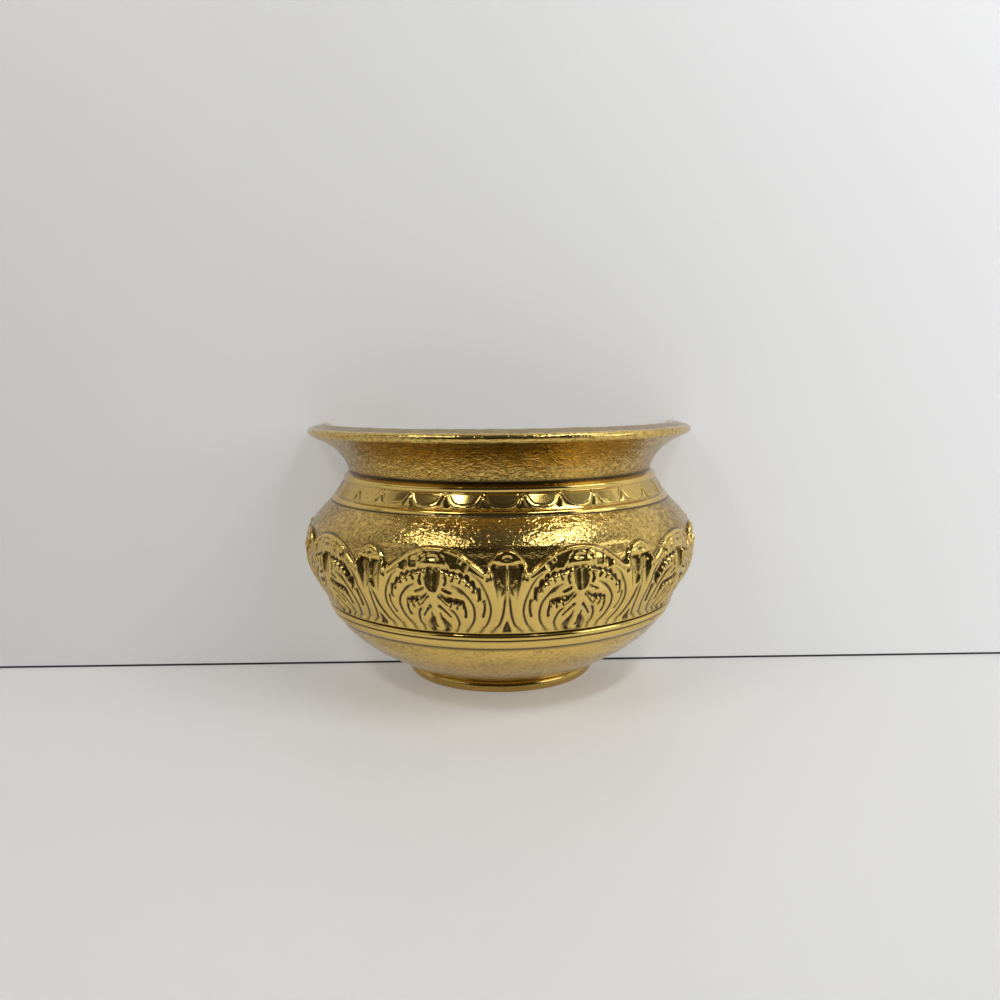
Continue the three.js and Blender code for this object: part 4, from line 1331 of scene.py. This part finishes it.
def stage_material(name, colour, roughness, glow, is_wall=False):
    material, nodes, shader, place = new_material(name)
    darker = [part * PAINT_MOTTLE for part in colour[:3]] + [1]
    paint = nodes.mixed(nodes.noise(place, scale=6.0, detail=3.0), colour, darker)
    shader.inputs["Roughness"].default_value = roughness
    spot = nodes.add("ShaderNodeSeparateXYZ", {0: place}).outputs
    path = nodes.add("ShaderNodeLightPath").outputs
    # Painted light: the paint glows for the camera and for reflections, more on the right, where the stronger
    # lamps stand, and more far out, where no lamp reaches
    far = nodes.ranged(nodes.math("ABSOLUTE", spot["X"]), *FAR_RANGE, 0.0, FAR_GLOW)
    pale = nodes.plus(nodes.ranged(spot["X"], -GLOW_REACH, GLOW_REACH, *glow), far)
    shown = nodes.math("MAXIMUM", path["Is Glossy Ray"], path["Is Transmission Ray"])
    pale = nodes.times(pale, nodes.math("MAXIMUM", path["Is Camera Ray"], shown))
    if is_wall:
        gap = nodes.math("LESS_THAN", spot["Z"], SHADOW_GAP)
        pale = nodes.times(pale, nodes.math("SUBTRACT", 1.0, gap))
        paint = nodes.mixed(gap, paint, SHADOW_COLOUR)
        clear = nodes.add("ShaderNodeBsdfTransparent")
        behind = nodes.times(nodes.add("ShaderNodeNewGeometry").outputs["Backfacing"], path["Is Camera Ray"])
        mix = nodes.add("ShaderNodeMixShader", {0: behind, 1: shader.outputs[0], 2: clear.outputs[0]})
        nodes.tree.links.new(mix.outputs[0], nodes.tree.nodes["Material Output"].inputs["Surface"])
    nodes.tree.links.new(paint, shader.inputs["Base Color"])
    shader.inputs["Emission Color"].default_value = (1, 1, 1, 1)
    nodes.tree.links.new(pale, shader.inputs["Emission Strength"])
    return material


def table_top():
    mesh = bpy.data.meshes.new("table_top")
    s = STAGE_HALF
    corners = [(-s, TABLE_FRONT), (s, TABLE_FRONT), (s, s), (-s, s)]
    points = [(x, y, z) for z in (0, -TABLE_THICK) for x, y in corners]
    sides = [(i, i + 4, (i + 1) % 4 + 4, (i + 1) % 4) for i in range(4)]
    mesh.from_pydata(points, [], [(0, 1, 2, 3), (7, 6, 5, 4), *sides])
    mesh.materials.append(stage_material("table_paint", FLOOR_COLOUR, TABLE_ROUGHNESS, TABLE_GLOW))
    return linked("table_top", mesh)


def wall():
    """A wall with the plate's outline left open, so that the back of the plate has light of its own."""
    right = plate_side()
    right = [(x * HOLE_SHARE, z * HOLE_SHARE) for x, z in right]
    hole = right + [(-x, z) for x, z in reversed(right)]
    ground = right[0][0] * MM
    s = STAGE_HALF
    edge = [(ground, 0), (s, 0), (s, s), (-s, s), (-s, 0), (-ground, 0)]
    points = edge + [(x * MM, z * MM) for x, z in reversed(hole)][1:-1]
    mesh = bpy.data.meshes.new("wall")
    mesh.from_pydata([(x, WALL_GAP, z) for x, z in points], [], [tuple(range(len(points)))])
    mesh.materials.append(stage_material("wall_paint", WALL_COLOUR, WALL_ROUGHNESS, WALL_GLOW, is_wall=True))
    return linked("wall", mesh)


table_top()
wall()


WARM = (1.0, 0.97, 0.92)
COOL = (0.97, 0.99, 1.0)


def softbox(name, place, aim, size, watts, colour):
    data = bpy.data.lights.new(name, "AREA")
    data.shape = "RECTANGLE"
    data.size, data.size_y = size
    data.energy = watts
    data.color = colour
    lamp = linked(name, data)
    lamp.location = place
    way = np.array(aim) - np.array(place)
    lamp.rotation_euler = Vector(way).to_track_quat("-Z", "Y").to_euler()


# Two narrow lamps over the front and two wide panels at the sides
softbox("left_lamp", place=(-0.47, -0.43, 0.85), aim=(-0.05, -0.11, 0.1), size=(0.40, 0.09), watts=1.4,
        colour=WARM)
softbox("right_lamp", place=(0.40, -0.37, 0.84), aim=(0.05, -0.11, 0.1), size=(0.50, 0.09), watts=1.9,
        colour=COOL)
softbox("left_panel", place=(-0.83, -0.44, 0.42), aim=(0.0, -0.05, 0.02), size=(0.70, 0.45), watts=0.5,
        colour=WARM)
softbox("right_panel", place=(0.83, -0.44, 0.42), aim=(0.0, -0.05, 0.02), size=(0.50, 0.40), watts=1.3,
        colour=COOL)


# Brightness of the room: its two sides, its ceiling on each side, the dark part behind the camera,
# and what the camera sees past the stage. Ranges are of the way that light comes from, along one axis.
LEFT_SIDE = (0.19, 0.177, 0.157, 1)
RIGHT_SIDE = (0.58, 0.60, 0.635, 1)
SIDE_DIMMING = 0.4  # towards the ceiling
LEFT_CEILING = (0.05, 0.05, 0.05, 1)
RIGHT_CEILING = (0.15, 0.15, 0.16, 1)
FRONT_LIGHT = (0.035, 0.032, 0.028, 1)
BACKDROP = (0.72, 0.72, 0.72, 1)
ACROSS_RANGE = (-0.5, 0.5)
DIMMING_RANGE = (0.0, 0.6)
FRONT_RANGE = (-0.2, -0.66)
CEILING_RANGE = (0.82, 0.92)


def room_light():
    """Soft light from both sides, darker above and in front, where the room lies behind the camera."""
    world = bpy.data.worlds.new("room")
    bpy.context.scene.world = world
    world.use_nodes = True
    nodes = Nodes(world.node_tree)
    direction = nodes.add("ShaderNodeTexCoord").outputs["Generated"]
    way = nodes.add("ShaderNodeSeparateXYZ", {0: direction}).outputs
    across = nodes.ranged(way["X"], *ACROSS_RANGE)
    dimming = nodes.times(nodes.ranged(way["Z"], *DIMMING_RANGE), SIDE_DIMMING)
    sides = nodes.mixed(dimming, nodes.mixed(across, LEFT_SIDE, RIGHT_SIDE), FRONT_LIGHT)
    walls = nodes.mixed(nodes.ranged(way["Y"], *FRONT_RANGE), sides, FRONT_LIGHT)
    ceiling = nodes.mixed(across, LEFT_CEILING, RIGHT_CEILING)
    colour = nodes.mixed(nodes.ranged(way["Z"], *CEILING_RANGE), walls, ceiling)
    seen = nodes.add("ShaderNodeLightPath").outputs["Is Camera Ray"]
    background = world.node_tree.nodes["Background"]
    world.node_tree.links.new(nodes.mixed(seen, colour, BACKDROP), background.inputs["Color"])
    background.inputs["Strength"].default_value = 1.0


room_light()

# Camera at the photograph's place
CAMERA_PLACE = (-9.5, -542.1, 175.7)
CAMERA_YAW, CAMERA_PITCH, CAMERA_ROLL = 1.03, 7.38, 0.50
FOCAL_PIXELS = 863.9
PICTURE_PIXELS = 1000
SENSOR = 36.0
NEAREST_SEEN = 0.01  # metres


def photo_camera():
    yaw, pitch, roll = map(math.radians, (CAMERA_YAW, CAMERA_PITCH, CAMERA_ROLL))
    ahead = np.array([math.sin(yaw) * math.cos(pitch), math.cos(yaw) * math.cos(pitch), -math.sin(pitch)])
    level = np.array([math.cos(yaw), -math.sin(yaw), 0.0])
    down = np.cross(ahead, level)
    right = math.cos(roll) * level + math.sin(roll) * down
    below = math.cos(roll) * down - math.sin(roll) * level
    data = bpy.data.cameras.new("camera")
    data.sensor_width = SENSOR
    data.lens = FOCAL_PIXELS / PICTURE_PIXELS * SENSOR
    data.clip_start = NEAREST_SEEN
    camera = linked("camera", data)
    place = np.eye(4)
    place[:3, 0], place[:3, 1], place[:3, 2] = right, -below, -ahead
    place[:3, 3] = np.array(CAMERA_PLACE) * MM
    camera.matrix_world = Matrix(place.tolist())
    bpy.context.scene.camera = camera


photo_camera()
bpy.context.scene.view_settings.view_transform = "Standard"
